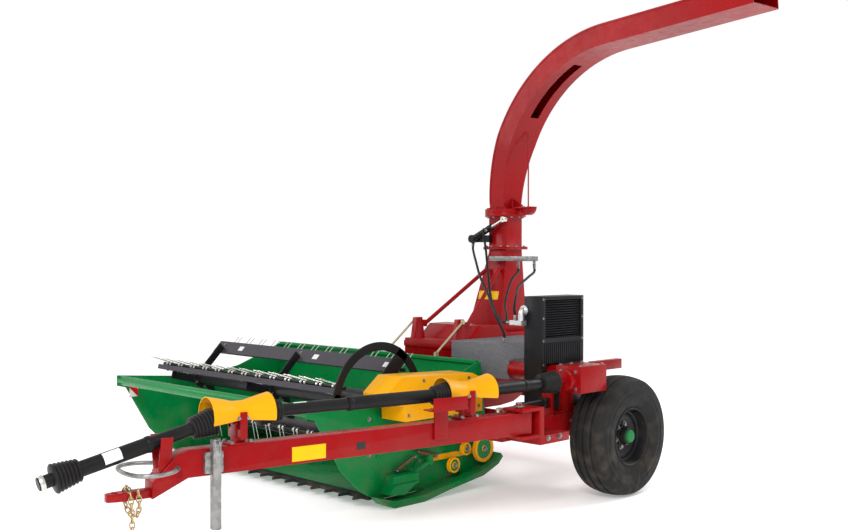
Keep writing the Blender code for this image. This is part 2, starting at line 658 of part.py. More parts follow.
def bearing_stand(name, at, carrier, paint):
    """Red pedestal with a bearing, and the yellow hood that flares to both sides of it."""
    y = -at
    top = DRAWBAR_TOP + GAP
    waist = 0.072
    piece("bearing_stand_" + name, paint["red"], carrier, [
        block(-0.055, 0.055, y - 0.070, y + 0.070, top, top + 0.012),
        prism([(y - 0.030, top), (y + 0.030, top), (y + 0.025, DRIVE_Z), (y - 0.025, DRIVE_Z)], "X",
              -0.030, 0.030),
        rod((0, y - 0.040, DRIVE_Z), (0, y + 0.040, DRIVE_Z), 0.052),
        block(-waist - 0.008, waist + 0.008, y - 0.020, y + 0.020, top + 0.030, DRIVE_Z - 0.072),
        block(waist + GAP, waist + 0.008, y - 0.020, y + 0.020, top + 0.030, DRIVE_Z + 0.020),
        block(-waist - 0.008, -waist - GAP, y - 0.020, y + 0.020, top + 0.030, DRIVE_Z + 0.020),
    ])
    reach = 0.178
    piece("cone_guard_" + name, paint["yellow"], carrier, [guard_arch([
        (at + reach, CONE_R), (at + 0.120, CONE_R - 0.010), (at + 0.050, waist), (at - 0.050, waist),
        (at - 0.120, CONE_R - 0.010), (at - reach, CONE_R),
    ], 0.004)])


def shaft_guard(name, start, end, carrier, paint, bell_start, bell_end, extra=()):
    """The black tube round a drive shaft, with a bellows that widens towards each joint."""
    start, end = Vector(start), Vector(end)
    along = (end - start).normalized()
    bell = 0.130
    narrow = BELLOWS_R * 0.72
    shapes = [
        rod(start, end, SHAFT_R, segments=16),
        rod(start + along * bell_start, start + along * (bell_start + bell), BELLOWS_R, narrow),
        rod(end - along * (bell_end + bell), end - along * bell_end, narrow, BELLOWS_R),
    ]
    piece(name, paint["plastic"], carrier, shapes + list(extra))


def drawbar(swing, paint):
    """Everything on the drawbar, in its own frame: x to the left, y to the rear, from the vertical pin."""
    low = DRAWBAR_TOP - DRAWBAR_H
    half = DRAWBAR_W / 2
    bend = -DRAWBAR_LEN
    tip = bend - 0.190
    beam = [(0.060, low), (0.060, DRAWBAR_TOP), (bend, DRAWBAR_TOP), (bend - 0.060, DRAWBAR_TOP - 0.020),
            (tip, HITCH_Z + 0.060), (tip, HITCH_Z - 0.025), (bend, low)]
    piece("drawbar", paint["red"], swing, [
        prism(beam, "X", -half, half),
        block(-SWING_ARM - 0.030, -half + 0.010, -0.045, 0.045, SWING_ARM_Z, SWING_ARM_Z + 0.020),
    ], cuts=[rod((0, 0, low - 0.05), (0, 0, DRAWBAR_TOP + 0.05), PIN_R + PIN_FIT)])
    eye_y = bend - HITCH_REACH + 0.050
    z0, z1 = HITCH_Z - 0.020, HITCH_Z + 0.020
    piece("hitch_tongue", paint["red"], swing, [
        prism([(-0.036, tip - GAP), (-0.036, eye_y), (-0.018, eye_y - 0.045), (0.018, eye_y - 0.045),
               (0.036, eye_y), (0.036, tip - GAP)], "Z", z0, z1),
    ], cuts=[rod((0, eye_y, z0 - 0.05), (0, eye_y, z1 + 0.05), 0.016)])
    drop = math.radians(FRONT_SHAFT_DROP)
    stub = 0.018
    joint = STAND_FRONT + 0.040 + stub * math.sin(drop) + GAP
    front = Vector((0, -joint, DRIVE_Z))
    along = Vector((0, -math.cos(drop), -math.sin(drop)))
    nose = front + along * FRONT_SHAFT
    shaft_guard("pto_shaft_front", front + along * 0.016, nose, swing, paint, BELL_AT, 0.0, extra=[
        rod(front, front + along * 0.050, stub, segments=12),
        rod(nose - along * 0.020, nose + along * 0.070, 0.034),
    ])
    shaft_guard("pto_shaft_middle", (0, -STAND_FRONT + 0.040 + GAP, DRIVE_Z),
                (0, -STAND_REAR - 0.040 - GAP, DRIVE_Z), swing, paint, BELL_AT, BELL_AT)
    bearing_stand("front", STAND_FRONT, swing, paint)
    bearing_stand("rear", STAND_REAR, swing, paint)
    # two leaves of a V on the sloping head keep the front shaft off the ground
    head_front = (tip, HITCH_Z + 0.060 + 2 * GAP)
    head_back = (bend - 0.060, DRAWBAR_TOP - 0.020 + 2 * GAP)
    steep = (head_back[1] - head_front[1]) / (head_back[0] - head_front[0])
    foot_at = DRAWBAR_LEN + 0.120
    foot_z = head_front[1] + steep * (-foot_at - tip)
    crest_z = DRIVE_Z - math.tan(drop) * (foot_at - joint) + 0.020
    reach = 0.036
    leaves = [prism([(-foot_at - reach, foot_z - steep * reach), (-foot_at + reach, foot_z + steep * reach),
                     (-foot_at + reach, foot_z + steep * reach + 0.014),
                     (-foot_at - reach, foot_z - steep * reach + 0.014)], "X", -0.045, 0.045)]
    for sign in (1, -1):
        leaves.append(prism([
            (sign * 0.020, foot_z - 0.030), (sign * 0.034, foot_z - 0.030), (sign * 0.082, crest_z),
            (sign * 0.070, crest_z),
        ], "Y", -foot_at - reach + 0.004, -foot_at + reach - 0.004))
    piece("shaft_cradle", paint["red"], swing, leaves, cuts=[prism([
        (tip - 0.10, head_front[1] - steep * 0.10), (bend, head_back[1] + steep * 0.060), (bend, HITCH_Z - 0.1),
        (tip - 0.10, HITCH_Z - 0.1)], "X", -0.2, 0.2)])
    # bent pipe round the tongue, from one side of the head to the other
    root_y = tip + 0.125
    side = [(half + 0.0005, root_y), (half + 0.030, root_y), (half + 0.095, root_y - 0.060),
            (half + 0.130, root_y - 0.150), (half + 0.080, root_y - 0.235)]
    hoop = [(x, y, HOOP_Z) for x, y in side] + [(0, root_y - 0.262, HOOP_Z)]
    hoop += [(-x, y, HOOP_Z) for x, y in reversed(side)]
    hose("hitch_hoop", hoop, HOOP_R, swing, paint["steel"], step=0.055)
    shelf_at = -0.660
    shelf_x = half + GAP
    piece("hose_shelf", paint["red"], swing, [
        block(shelf_x, shelf_x + 0.014, shelf_at - 0.050, shelf_at + 0.050, 0.600, 0.790),
        block(shelf_x, shelf_x + 0.110, shelf_at - 0.125, shelf_at + 0.125, 0.782, 0.790),
        block(shelf_x + 0.102, shelf_x + 0.110, shelf_at - 0.125, shelf_at + 0.125, 0.782, 0.862),
    ])


def jack(swing, paint):
    """Parking jack on the drawbar's left side. Its leg slides in the square tube."""
    side = DRAWBAR_W / 2 + GAP
    tube = JACK_TUBE / 2
    x = side + 0.022 + tube
    y = -JACK_AT
    low = DRAWBAR_TOP - DRAWBAR_H
    bore = tube - 0.005
    piece("jack_tube", paint["steel"], swing, [
        block(x - tube, x + tube, y - tube, y + tube, JACK_TUBE_LOW, JACK_TOP),
        block(side, x - tube + 0.006, y - 0.050, y + 0.050, low + 0.015, DRAWBAR_TOP - 0.015),
        rod((x, y, JACK_TOP - 0.010), (x, y, JACK_TOP + 0.030), 0.026),
        rod((x - 0.040, y, JACK_TOP + 0.015), (x + 0.060, y, JACK_TOP + 0.015), 0.009, segments=12),
    ], cuts=[block(x - bore, x + bore, y - bore, y + bore, 0.20, JACK_TOP - 0.030)])
    slide = empty("jack_slide", swing, (x, y, 0))
    leg = bore - SLIDE_FIT
    piece("jack_leg", paint["steel"], slide, [
        block(-leg, leg, -leg, leg, 0.004, JACK_LEG_TOP),
        block(-0.075, 0.075, -0.075, 0.075, 0.0, JACK_FOOT),
    ])


def rear_shaft(root, paint):
    """Telescopic shaft from the gearbox's joint to the rear stand, turning about the joint's upright pin."""
    joint_y = SNOUT_Y - 0.035
    pin_x = PIVOT_X + polar(STAND_REAR - 0.060, -90 - DRAWBAR_YAW)[0]
    pin_y = PIVOT_Y + polar(STAND_REAR - 0.060, -90 - DRAWBAR_YAW)[1]
    reach = math.hypot(pin_x - GEARBOX_X, pin_y - joint_y)
    yaw = math.atan2(pin_x - GEARBOX_X, joint_y - pin_y)
    follow = empty("rear_shaft_follow", root, (GEARBOX_X, joint_y, 0), (0, 0, yaw))
    ear = 0.034
    front = -reach + 0.020
    piece("pto_shaft_rear", paint["plastic"], follow, [
        rod((0, -0.070, DRIVE_Z), (0, front + 0.080, DRIVE_Z), SHAFT_R),
        rod((0, -0.060, DRIVE_Z), (0, -0.190, DRIVE_Z), BELLOWS_R, BELLOWS_R * 0.72),
        rod((0, front + 0.100, DRIVE_Z), (0, front, DRIVE_Z), 0.026),
        block(-0.022, 0.022, -0.080, 0.022, DRIVE_Z + ear, DRIVE_Z + ear + 0.012),
        block(-0.022, 0.022, -0.080, 0.022, DRIVE_Z - ear - 0.012, DRIVE_Z - ear),
    ])


# ---------------------------------------------------------------- header
def header_back(z):
    """Y of the header's back wall, on its outer face, at a height above the auger."""
    low = (AUGER_Y + AUGER_R + TROUGH_RUN + HEADER_WALL, AUGER_Z)
    mid = (BACK_MID_Y + HEADER_WALL, 0.560)
    top = (BACK_TOP_Y + HEADER_WALL, BACK_TOP_Z)
    first, last = (low, mid) if z < mid[1] else (mid, top)
    return first[0] + (last[0] - first[0]) * (z - first[1]) / (last[1] - first[1])


def header_sheets(lift, paint):
    x0, x1 = HEADER_RIGHT, HEADER_LEFT
    rear = BACK_TOP_Y + 0.025
    side = [
        (RAIL_Y - 0.035, RAIL_Z + 0.042), (RAIL_Y - 0.035, RAIL_Z - 0.042), (RAIL_Y + 0.040, RAIL_Z - 0.060),
        (-1.810, 0.290), (-1.640, 0.125), (-1.500, 0.050), (-1.150, 0.050), (-0.885, 0.075),
        (-0.545, 0.110), (-0.386, 0.170), (-0.350, 0.230), (rear + 0.030, 0.600), (rear, BACK_TOP_Z),
        (rear - 0.050, BACK_TOP_Z), (-0.740, 0.812), (-0.940, 0.740), (-1.250, 0.690),
        (REEL_Y + 0.080, REEL_Z + 0.055), (REEL_Y - 0.080, REEL_Z + 0.055), (-1.600, 0.700),
    ]
    for name, low, high in (("side_sheet_left", x1, x1 + SHEET), ("side_sheet_right", x0 - SHEET, x0)):
        piece(name, paint["green"], lift, [prism(side, "X", low, high)], cuts=[
            rod((low - 0.05, REEL_Y, REEL_Z), (high + 0.05, REEL_Y, REEL_Z), STUB_R + PIN_FIT),
            rod((low - 0.05, AUGER_Y, AUGER_Z), (high + 0.05, AUGER_Y, AUGER_Z), STUB_R + PIN_FIT),
        ])
    # floor, auger trough and back wall as one bent sheet
    trough = AUGER_R + TROUGH_RUN
    bends = [(CUT_Y + 0.030, CUT_Z - 0.012), (-1.150, 0.085)]
    for angle in range(-105, 1, 15):
        bends.append((AUGER_Y + polar(trough, angle)[0], AUGER_Z + polar(trough, angle)[1]))
    bends += [(BACK_MID_Y, 0.560), (BACK_TOP_Y, BACK_TOP_Z)]
    below = []
    for i, (y, z) in enumerate(bends):
        run = Vector(bends[min(i + 1, len(bends) - 1)]) - Vector(bends[max(i - 1, 0)])
        run.normalize()
        below.append((y + run.y * HEADER_WALL, z - run.x * HEADER_WALL))
    mouth = FEED_WIDTH / 2 - 0.040
    piece("header_trough", paint["green"], lift, [
        prism(bends + below[::-1], "X", x0 + GAP, x1 - GAP),
        block(x0 + GAP, x1 - GAP, BACK_TOP_Y - 0.025, BACK_TOP_Y + 0.012, BACK_TOP_Z - 0.012,
              BACK_TOP_Z + 0.014),
    ], cuts=[block(CHOPPER_X - mouth, CHOPPER_X + mouth, -0.700, -0.300, 0.200, 0.680)])
    piece("push_rail", paint["green"], lift, [
        rod((x0 + GAP, RAIL_Y, RAIL_Z), (x1 - GAP, RAIL_Y, RAIL_Z), RAIL_R),
    ])


def cutter_bar(lift, paint):
    """Knife bar and its pointed guards, across the whole floor's front edge."""
    x0, x1 = HEADER_RIGHT, HEADER_LEFT
    count = round(WORK_WIDTH / FINGER_PITCH)
    pitch = WORK_WIDTH / count
    shapes = [block(x0 + GAP, x1 - GAP, CUT_Y - 0.040, CUT_Y + 0.030 - GAP, CUT_Z - 0.020, CUT_Z)]
    for i in range(count):
        x = x0 + pitch * (i + 0.5)
        shapes.append(prism([
            (x - 0.022, CUT_Y - 0.020), (x + 0.022, CUT_Y - 0.020), (x + 0.006, CUT_Y - 0.110),
            (x - 0.006, CUT_Y - 0.110),
        ], "Z", CUT_Z - 0.018, CUT_Z - 0.002))
    piece("cutter_bar", paint["black"], lift, shapes, smooth=False)


def skids(lift, paint):
    """Shoes outside the side sheets that carry the lowered header."""
    x0, x1 = HEADER_RIGHT, HEADER_LEFT
    shoe = [
        (-1.560, 0.085), (-1.500, 0.028), (-1.430, 0.0), (-1.150, 0.0), (-0.900, 0.045), (-0.545, 0.094),
        (-0.386, 0.156), (-0.334, 0.205), (-0.360, 0.235), (-0.400, 0.196), (-0.560, 0.134),
        (-0.900, 0.085), (-1.150, 0.050), (-1.430, 0.050), (-1.500, 0.070),
    ]
    piece("skid_left", paint["green"], lift, [prism(shoe, "X", x1 + SHEET + GAP, x1 + SKID_W)])
    piece("skid_right", paint["green"], lift, [prism(shoe, "X", x0 - SKID_W * 0.6, x0 - SHEET - GAP)])


def feed_throat(lift, paint):
    """Cheeks and floor from the mouth in the back wall to the hinge on the feed housing."""
    half = FEED_WIDTH / 2 + 0.028
    plate = 0.024
    low_z, high_z = AUGER_Z, 0.740
    shapes = []
    cuts = []
    for sign in (-1, 1):
        a = CHOPPER_X + sign * half
        b = CHOPPER_X + sign * (half + plate)
        cheek = [
            (header_back(low_z) + GAP, low_z), (HINGE_Y - 0.100, low_z + 0.040),
            (HINGE_Y, HINGE_Z - 0.060), (HINGE_Y + 0.050, HINGE_Z - 0.020),
            (HINGE_Y + 0.050, HINGE_Z + 0.030), (HINGE_Y, HINGE_Z + 0.060),
            (header_back(high_z) + GAP, high_z), (header_back(0.560) + GAP, 0.560),
        ]
        shapes.append(prism(cheek, "X", min(a, b), max(a, b)))
        cuts.append(rod((min(a, b) - 0.02, HINGE_Y, HINGE_Z), (max(a, b) + 0.02, HINGE_Y, HINGE_Z),
                        HINGE_PIN_R + PIN_FIT))
    shapes.append(prism([
        (header_back(low_z) + GAP, low_z), (HINGE_Y - 0.110, low_z + 0.038),
        (HINGE_Y - 0.110, low_z + 0.048), (header_back(low_z + 0.012) + GAP, low_z + 0.012),
    ], "X", CHOPPER_X - half - 0.010, CHOPPER_X + half + 0.010))
    piece("feed_throat", paint["green"], lift, shapes, cuts=cuts)


def balance_rods(lift, paint):
    """Two rods from the top of the header's back wall to beside the lugs on the feed housing."""
    rod_r = 0.009
    eye_r = 0.018
    clear = 0.016
    foot_z = BACK_TOP_Z + 0.014 + GAP
    for name, sign in (("balance_rod_left", 1), ("balance_rod_right", -1)):
        x = CHOPPER_X + sign * (LUG_X + LUG_HALF + clear)
        foot_y = BACK_TOP_Y - 0.005
        top = Vector((x, (lug_back(LUG_TOP) - 0.215) / 2, LUG_TOP - 0.020))
        piece(name, paint["beige"], lift, [
            rod((x, foot_y, foot_z + 0.022), top, rod_r, segments=12),
            rod(top - Vector((0.009, 0, 0)), top + Vector((0.009, 0, 0)), eye_r),
            block(x - 0.012, x + 0.012, foot_y - 0.015, foot_y + 0.015, foot_z, foot_z + 0.032),
        ])


def header_drive(lift, paint):
    """Belt guard, pulleys and knife drive, all outside the left side sheet."""
    sheet = HEADER_LEFT + SHEET
    inner, outer = sheet + 0.030, GUARD_LEFT
    guard = [
        (-1.640, 0.793), (-1.505, 0.900), (-0.820, 0.874), (-0.720, 0.830), (-0.720, 0.600),
        (-1.470, 0.600), (-1.480, 0.700), (-1.630, 0.735),
    ]
    wall = 0.006
    hollow = [
        (-1.632, 0.790), (-1.502, 0.900 - wall), (-0.823, 0.874 - wall), (-0.726, 0.826), (-0.726, 0.560),
        (-1.462, 0.560), (-1.462, 0.706), (-1.624, 0.742),
    ]
    piece("belt_guard", paint["yellow"], lift, [
        prism(guard, "X", inner, outer),
        block(sheet + GAP, inner + 0.004, -1.440, -1.380, 0.610, 0.645),
        block(sheet + GAP, inner + 0.004, -0.900, -0.840, 0.680, 0.735),
    ], cuts=[prism(hollow, "X", inner + wall, outer - wall)])
    carrier = [block(sheet + GAP, sheet + 0.012, -0.980, -0.450, 0.240, 0.280)]
    for y, z, radius in PULLEYS:
        carrier.append(rod((sheet + 0.004, y, z), (sheet + 0.090, y, z), 0.018, segments=12))
        carrier.append(rod((sheet + 0.050, y, z), (sheet + 0.085, y, z), radius, segments=28))
        carrier.append(block(sheet + GAP, sheet + 0.012, y - 0.030, y + 0.030, min(z, 0.25) - 0.020,
                             max(z, 0.27) + 0.020))
    piece("belt_pulleys", paint["yellow"], lift, carrier)
    piece("knife_drive", paint["green"], lift, [
        block(sheet + GAP, sheet + 0.090, -1.420, -1.180, 0.130, 0.205),
        prism([(-1.470, 0.090), (-1.330, 0.075), (-1.200, 0.150), (-1.420, 0.150)], "X",
              sheet + GAP, sheet + 0.110),
        rod((sheet + 0.045, -1.200, 0.190), (sheet + 0.045, -1.020, 0.255), 0.014, segments=12),
        block(sheet + GAP, sheet + 0.060, -1.045, -1.010, 0.230, 0.300),
    ])


def ribbon(start, end, pitch, hand, inner, outer, thick):
    """One auger flight as a helical ribbon along X."""
    per_turn = 12
    steps = round(abs(end - start) / pitch * per_turn)
    rings = []
    for i in range(steps + 1):
        x = start + (end - start) * i / steps
        turn = hand * 360.0 * (x - start) / pitch + 3.3
        (yi, zi), (yo, zo) = polar(inner, turn), polar(outer, turn)
        rings.append([(x - thick, yi, zi), (x + thick, yi, zi), (x + thick, yo, zo), (x - thick, yo, zo)])
    flight = loft(rings)
    bmesh.ops.triangulate(flight, faces=flight.faces)
    return flight


def feed_auger(lift, paint):
    """Cross auger whose two opposite flights bring the crop to the mouth, with paddles there."""
    carrier = empty("auger_spin", lift, Vector((0, AUGER_Y, AUGER_Z)) - HEADER_HINGE)
    x0, x1 = HEADER_RIGHT, HEADER_LEFT
    end = 0.020
    mouth = FEED_WIDTH / 2 - 0.020
    shapes = [
        rod((x0 + end, 0, 0), (x1 - end, 0, 0), AUGER_CORE_R),
        rod((x0 - SHEET + 0.001, 0, 0), (x1 + SHEET - 0.001, 0, 0), STUB_R),
        ribbon(x1 - end - 0.010, CHOPPER_X + mouth, AUGER_PITCH, 1, AUGER_CORE_R - 0.012, AUGER_R, 0.003),
        ribbon(x0 + end + 0.010, CHOPPER_X - mouth, AUGER_PITCH, -1, AUGER_CORE_R - 0.012, AUGER_R, 0.003),
    ]
    for angle in (20, 140, 260):
        paddle = block(CHOPPER_X - mouth + 0.060, CHOPPER_X + mouth - 0.060, AUGER_CORE_R - 0.010,
                       AUGER_R - 0.010, -0.004, 0.004)
        shapes.append(moved(paddle, Matrix.Rotation(math.radians(angle), 4, "X")))
    piece("feed_auger", paint["green"], carrier, shapes, solver="MANIFOLD")


def reel(lift, paint):
    """Reel on a tube: a full ring at the left end, arms at the middle and the right, three boards."""
    carrier = empty("reel_spin", lift, Vector((0, REEL_Y, REEL_Z)) - HEADER_HINGE)
    x0, x1 = HEADER_RIGHT + REEL_END_RUN, HEADER_LEFT - REEL_END_RUN
    plate = 0.012
    ring_x = x1 - 0.020
    thirds = [REEL_PHASE + i * 360.0 / REEL_BATS for i in range(REEL_BATS)]
    inner = REEL_RING_R - REEL_RING_BAND
    shapes = [
        rod((x0, 0, 0), (x1, 0, 0), REEL_TUBE_R),
        rod((HEADER_RIGHT - SHEET - 0.020, 0, 0), (HEADER_LEFT + SHEET + 0.015, 0, 0), STUB_R),
        turned([(ring_x - plate, inner), (ring_x, inner), (ring_x, REEL_RING_R),
                (ring_x - plate, REEL_RING_R)], "X", 36),
    ]
    spiders = [x0 + 0.120, (x0 + x1) / 2, ring_x - plate / 2]
    for x in spiders:
        shapes.append(rod((x - 0.012, 0, 0), (x + 0.012, 0, 0), REEL_TUBE_R + 0.030))
        reach = REEL_RING_R - 0.010 if x == spiders[-1] else BOARD_IN + 0.050
        for angle in thirds:
            width = 0.100 if x == spiders[-1] else 0.060
            arm = block(x - plate / 2, x + plate / 2, REEL_TUBE_R - 0.010, reach,
                        BOARD_T / 2 + GAP, BOARD_T / 2 + width)
            shapes.append(moved(arm, Matrix.Rotation(math.radians(angle), 4, "X")))
    piece("reel_frame", paint["black"], carrier, shapes)
    board_x0, board_x1 = x0, ring_x - plate - GAP
    bar_r = 0.014
    count = round((board_x1 - board_x0) / TINE_PITCH)
    for number, angle in enumerate(thirds, 1):
        turn = Matrix.Rotation(math.radians(angle), 4, "X")
        half = BOARD_T / 2
        board = block(board_x0, board_x1, BOARD_IN, BOARD_IN + BAT_WIDTH, -half, half)
        fold = block(board_x0, board_x1, BOARD_IN + BAT_WIDTH - 0.008, BOARD_IN + BAT_WIDTH, -half - 0.022,
                     half)
        bar_z = -half - TINE_BAR_OUT
        bat = [moved(board, turn), moved(fold, turn)]
        bat += [moved(rod((board_x0, TINE_BAR_AT, bar_z), (board_x1, TINE_BAR_AT, bar_z), bar_r,
                         segments=12), turn)]
        for x in (board_x0 + 0.100, (board_x0 + board_x1) / 2 - 0.040, board_x1 - 0.060):
            bat.append(moved(block(x - 0.015, x + 0.015, TINE_BAR_AT - 0.012, TINE_BAR_AT + 0.012, bar_z,
                                   -half + 0.004), turn))
        for i in range(count):
            for offset in (-0.022, 0.022):
                x = board_x0 + (board_x1 - board_x0) * (i + 0.5) / count + offset
                bat.append(moved(rod((x, TINE_BAR_AT, bar_z), (x, TINE_TIP, bar_z - 0.030), 0.003,
                                     segments=3), turn))
        piece("reel_bat_%d" % number, paint["board"], carrier, bat, smooth=False)


# ---------------------------------------------------------------- spout
def spout_sections(inset, run_over=0.0):
    """Rings of the box section along the spout's path, in the spout's own frame: x points outwards."""
    path = [(0.0, RING_Z + 0.030 - run_over, 90.0), (0.0, SPOUT_BEND_Z, 90.0)]
    centre = (SPOUT_BEND_R, SPOUT_BEND_Z)
    steps = 10
    for i in range(1, steps + 1):
        slope = 90.0 + (SPOUT_RISE - 90.0) * i / steps
        away = polar(SPOUT_BEND_R, slope + 90.0)
        path.append((centre[0] + away[0], centre[1] + away[1], slope))
    length = SPOUT_ARM + run_over
    last = path[-1]
    ahead = polar(length, SPOUT_RISE)
    path.append((last[0] + ahead[0], last[1] + ahead[1], SPOUT_RISE))
    total = SPOUT_BEND_Z - RING_Z + math.radians(90 - SPOUT_RISE) * SPOUT_BEND_R + SPOUT_ARM
    done = 0.0
    rings = []
    before = path[0]
    for x, z, slope in path:
        done += math.hypot(x - before[0], z - before[1])
        before = (x, z)
        share = min(done / total, 1.0)
        depth = (SPOUT_DEPTH_LOW + (SPOUT_DEPTH_END - SPOUT_DEPTH_LOW) * share) / 2 - inset
        widened = SPOUT_W_LOW + (SPOUT_W - SPOUT_W_LOW) * min(done / SPOUT_WIDENS, 1.0)
        half = widened / 2 - inset
        out = polar(depth, slope + 90.0)
        rings.append([
            (x + out[0], -half, z + out[1]), (x + out[0], half, z + out[1]),
            (x - out[0], half, z - out[1]), (x - out[0], -half, z - out[1]),
        ])
    return rings


def spout(root, paint):
    """The curved spout on the slewing ring, its rod bracket, and the flap at its end."""
    slew = empty("spout_slew", root, (DUCT_X, DUCT_Y, 0), (0, 0, math.radians(SPOUT_YAW)))
    seat = RING_Z + GAP
    outer = spout_sections(0.0)
    # the concave side is open along part of the arch
    slot = []
    for ring in outer[4:9]:
        edge_a = (Vector(ring[2]) + Vector(ring[3])) / 2
        edge_b = (Vector(ring[0]) + Vector(ring[1])) / 2
        inward = (edge_a - edge_b).normalized()
        half = SPOUT_W / 2 - 0.045
        near, far = edge_a + inward * 0.05, edge_a - inward * 0.03
        slot.append([(far.x, -half, far.z), (far.x, half, far.z), (near.x, half, near.z),
                     (near.x, -half, near.z)])
    # the flap's hinge is on the upper edge of the mouth
    last = outer[-1]
    edge = (Vector(last[0]) + Vector(last[1])) / 2
    hinge_r = 0.010
    rise = math.radians(SPOUT_RISE)
    ahead = Vector((math.cos(rise), 0, math.sin(rise)))
    up = Vector((-math.sin(rise), 0, math.cos(rise)))
    pin = edge + up * (hinge_r + 0.004) + ahead * 0.004
    half = SPOUT_W / 2
    stand = Matrix.Translation(pin) @ Matrix.Rotation(-rise, 4, "Y")
    ears = [
        moved(block(-0.060, 0.003, y - 0.008, y + 0.008, -hinge_r - 0.008, 0.002), stand)
        for y in (-half + 0.008, half - 0.008)
    ]
    piece("spout", paint["red"], slew, [
        loft(outer),
        rod((0, 0, seat), (0, 0, RING_Z + 0.032), RING_R, segments=32),
        rod(pin - Vector((0, half, 0)), pin + Vector((0, half, 0)), hinge_r - 0.003, segments=12),
    ] + ears, cuts=[
        loft(spout_sections(SPOUT_WALL, 0.12)),
        loft(slot),
    ])
    # bracket with a quadrant below it, and the rod from it up to the spout's inner side
    lean = SPOUT_DEPTH_LOW / 2 + GAP
    rod_x = 0.275
    under = [(Vector(ring[2]).x, ring[2][2]) for ring in outer]
    first = next(i for i, (x, z) in enumerate(under) if x > rod_x)
    (xa, za), (xb, zb) = under[first - 1], under[first]
    rod_top = za + (zb - za) * (rod_x - xa) / (xb - xa) - 0.020
    low = RING_Z + 0.0325
    arc = [(rod_x + polar(0.070, a)[0], low + 0.012 + polar(0.070, a)[1]) for a in range(180, 361, 20)]
    piece("rod_bracket", paint["red"], slew, [
        block(lean + 0.004, 0.330, -0.045, 0.045, low, low + 0.012),
        prism([(lean + 0.012, low + 0.004), (0.250, low + 0.004), (lean + 0.012, low + 0.090)], "Y",
              -0.006, 0.006),
        prism(arc, "Y", -0.030, 0.030),
        rod((rod_x, 0, low + 0.004), (rod_x, 0, rod_top), 0.006, segments=12),
    ])
    tilt = empty("flap_tilt", slew, pin, (0, -rise, 0))
    cheek = math.tan(math.radians(FLAP_CHEEK))
    wall = 0.004
    start = 0.016
    knuckle = half - 0.022
    shapes = [
        block(start, FLAP_LENGTH, -half, half, -wall, 0.0),
        block(0.0, start + 0.010, -knuckle, knuckle, -wall, wall),
        rod((0, -knuckle, 0), (0, knuckle, 0), hinge_r, segments=16),
    ]
    for y0 in (-half, half - wall):
        shapes.append(prism([(start, 0.0), (start, -start * cheek), (FLAP_LENGTH, -FLAP_LENGTH * cheek),
                             (FLAP_LENGTH, 0.0)], "Y", y0, y0 + wall))
    piece("flap", paint["red"], tilt, shapes,
          cuts=[rod((0, -half, 0), (0, half, 0), hinge_r - 0.003 + PIN_FIT, segments=12)])


def swing_cylinder(root, paint):
    """Cylinder between the frame's post and the drawbar's arm, with its rod's eye lying over the arm."""
    angle = -DRAWBAR_YAW
    eye = Vector((PIVOT_X - SWING_ARM * math.cos(math.radians(angle)),
                  PIVOT_Y - SWING_ARM * math.sin(math.radians(angle)), SWING_ARM_Z + SWING_EYE_UP))
    base = Vector((OUTER_RAIL, SWING_POST_Y, eye.z))
    joint = base.lerp(eye, 0.55)
    piece("swing_cylinder", paint["plastic"], root, [
        rod(base, joint, 0.030),
        rod(joint.lerp(base, 0.05), eye, 0.016, segments=12),
        rod(eye - Vector((0, 0, 0.018)), eye + Vector((0, 0, 0.018)), 0.028, segments=16),
        rod(base - Vector((0, 0, 0.034)), base + Vector((0, 0, 0.034)), 0.032),
    ])


def place_on_ground(root):
    """Moves the whole machine so that the origin is on the ground under the middle of its bounding box."""
    bpy.context.view_layer.update()
    graph = bpy.context.evaluated_depsgraph_get()
    low = Vector((math.inf,) * 3)
    high = Vector((-math.inf,) * 3)
    for obj in bpy.data.objects:
        if obj.type != "MESH":
            continue
        evaluated = obj.evaluated_get(graph)
        mesh = evaluated.to_mesh()
        for vert in mesh.vertices:
            place = evaluated.matrix_world @ vert.co
            low = Vector(map(min, low, place))
            high = Vector(map(max, high, place))
        evaluated.to_mesh_clear()
    root.location = (-(low.x + high.x) / 2, -(low.y + high.y) / 2, -low.z)


def main():
    clear_scene()
    paint = finishes()
    root = empty("machine")
    wheel("left", 1, empty("wheel_left_roll", root, (WHEEL_X, 0, AXLE_Z)), paint)
    wheel("right", -1, empty("wheel_right_roll", root, (-WHEEL_X, 0, AXLE_Z)), paint)
    chassis(root, paint)
    pin_bracket(root, paint)
    swing_cylinder(root, paint)
    chopper(root, paint)
    drive(root, paint)
    slew_drive(root, paint)
    hoses(root, paint)
    swing = empty("drawbar_swing", root, (PIVOT_X, PIVOT_Y, 0), (0, 0, math.radians(-DRAWBAR_YAW)))
    drawbar(swing, paint)
    jack(swing, paint)
    rear_shaft(root, paint)
    lift = empty("header_lift", root, HEADER_HINGE)
    lift["in_machine_axes"] = True
    header_sheets(lift, paint)
    cutter_bar(lift, paint)
    skids(lift, paint)
    feed_throat(lift, paint)
    header_drive(lift, paint)
    balance_rods(lift, paint)
    feed_auger(lift, paint)
    reel(lift, paint)
    spout(root, paint)
    place_on_ground(root)


main()
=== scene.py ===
# %% [markdown]
# # A trailed forage harvester, dressed
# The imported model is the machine's true shape: rails, wheels, header, chopper and spout. This lesson
# loads it, leaves every size alone, and adds what a visitor would see up close: paint, rubber, bolts,
# tines, springs, bellows, a chain and the hoses. Everything is in metres, +Z up, and the machine
# drives towards -Y, so its left side is +X.

# %% Load the frame
import json
import math

import bmesh
import bpy
from mathutils import Matrix, Vector

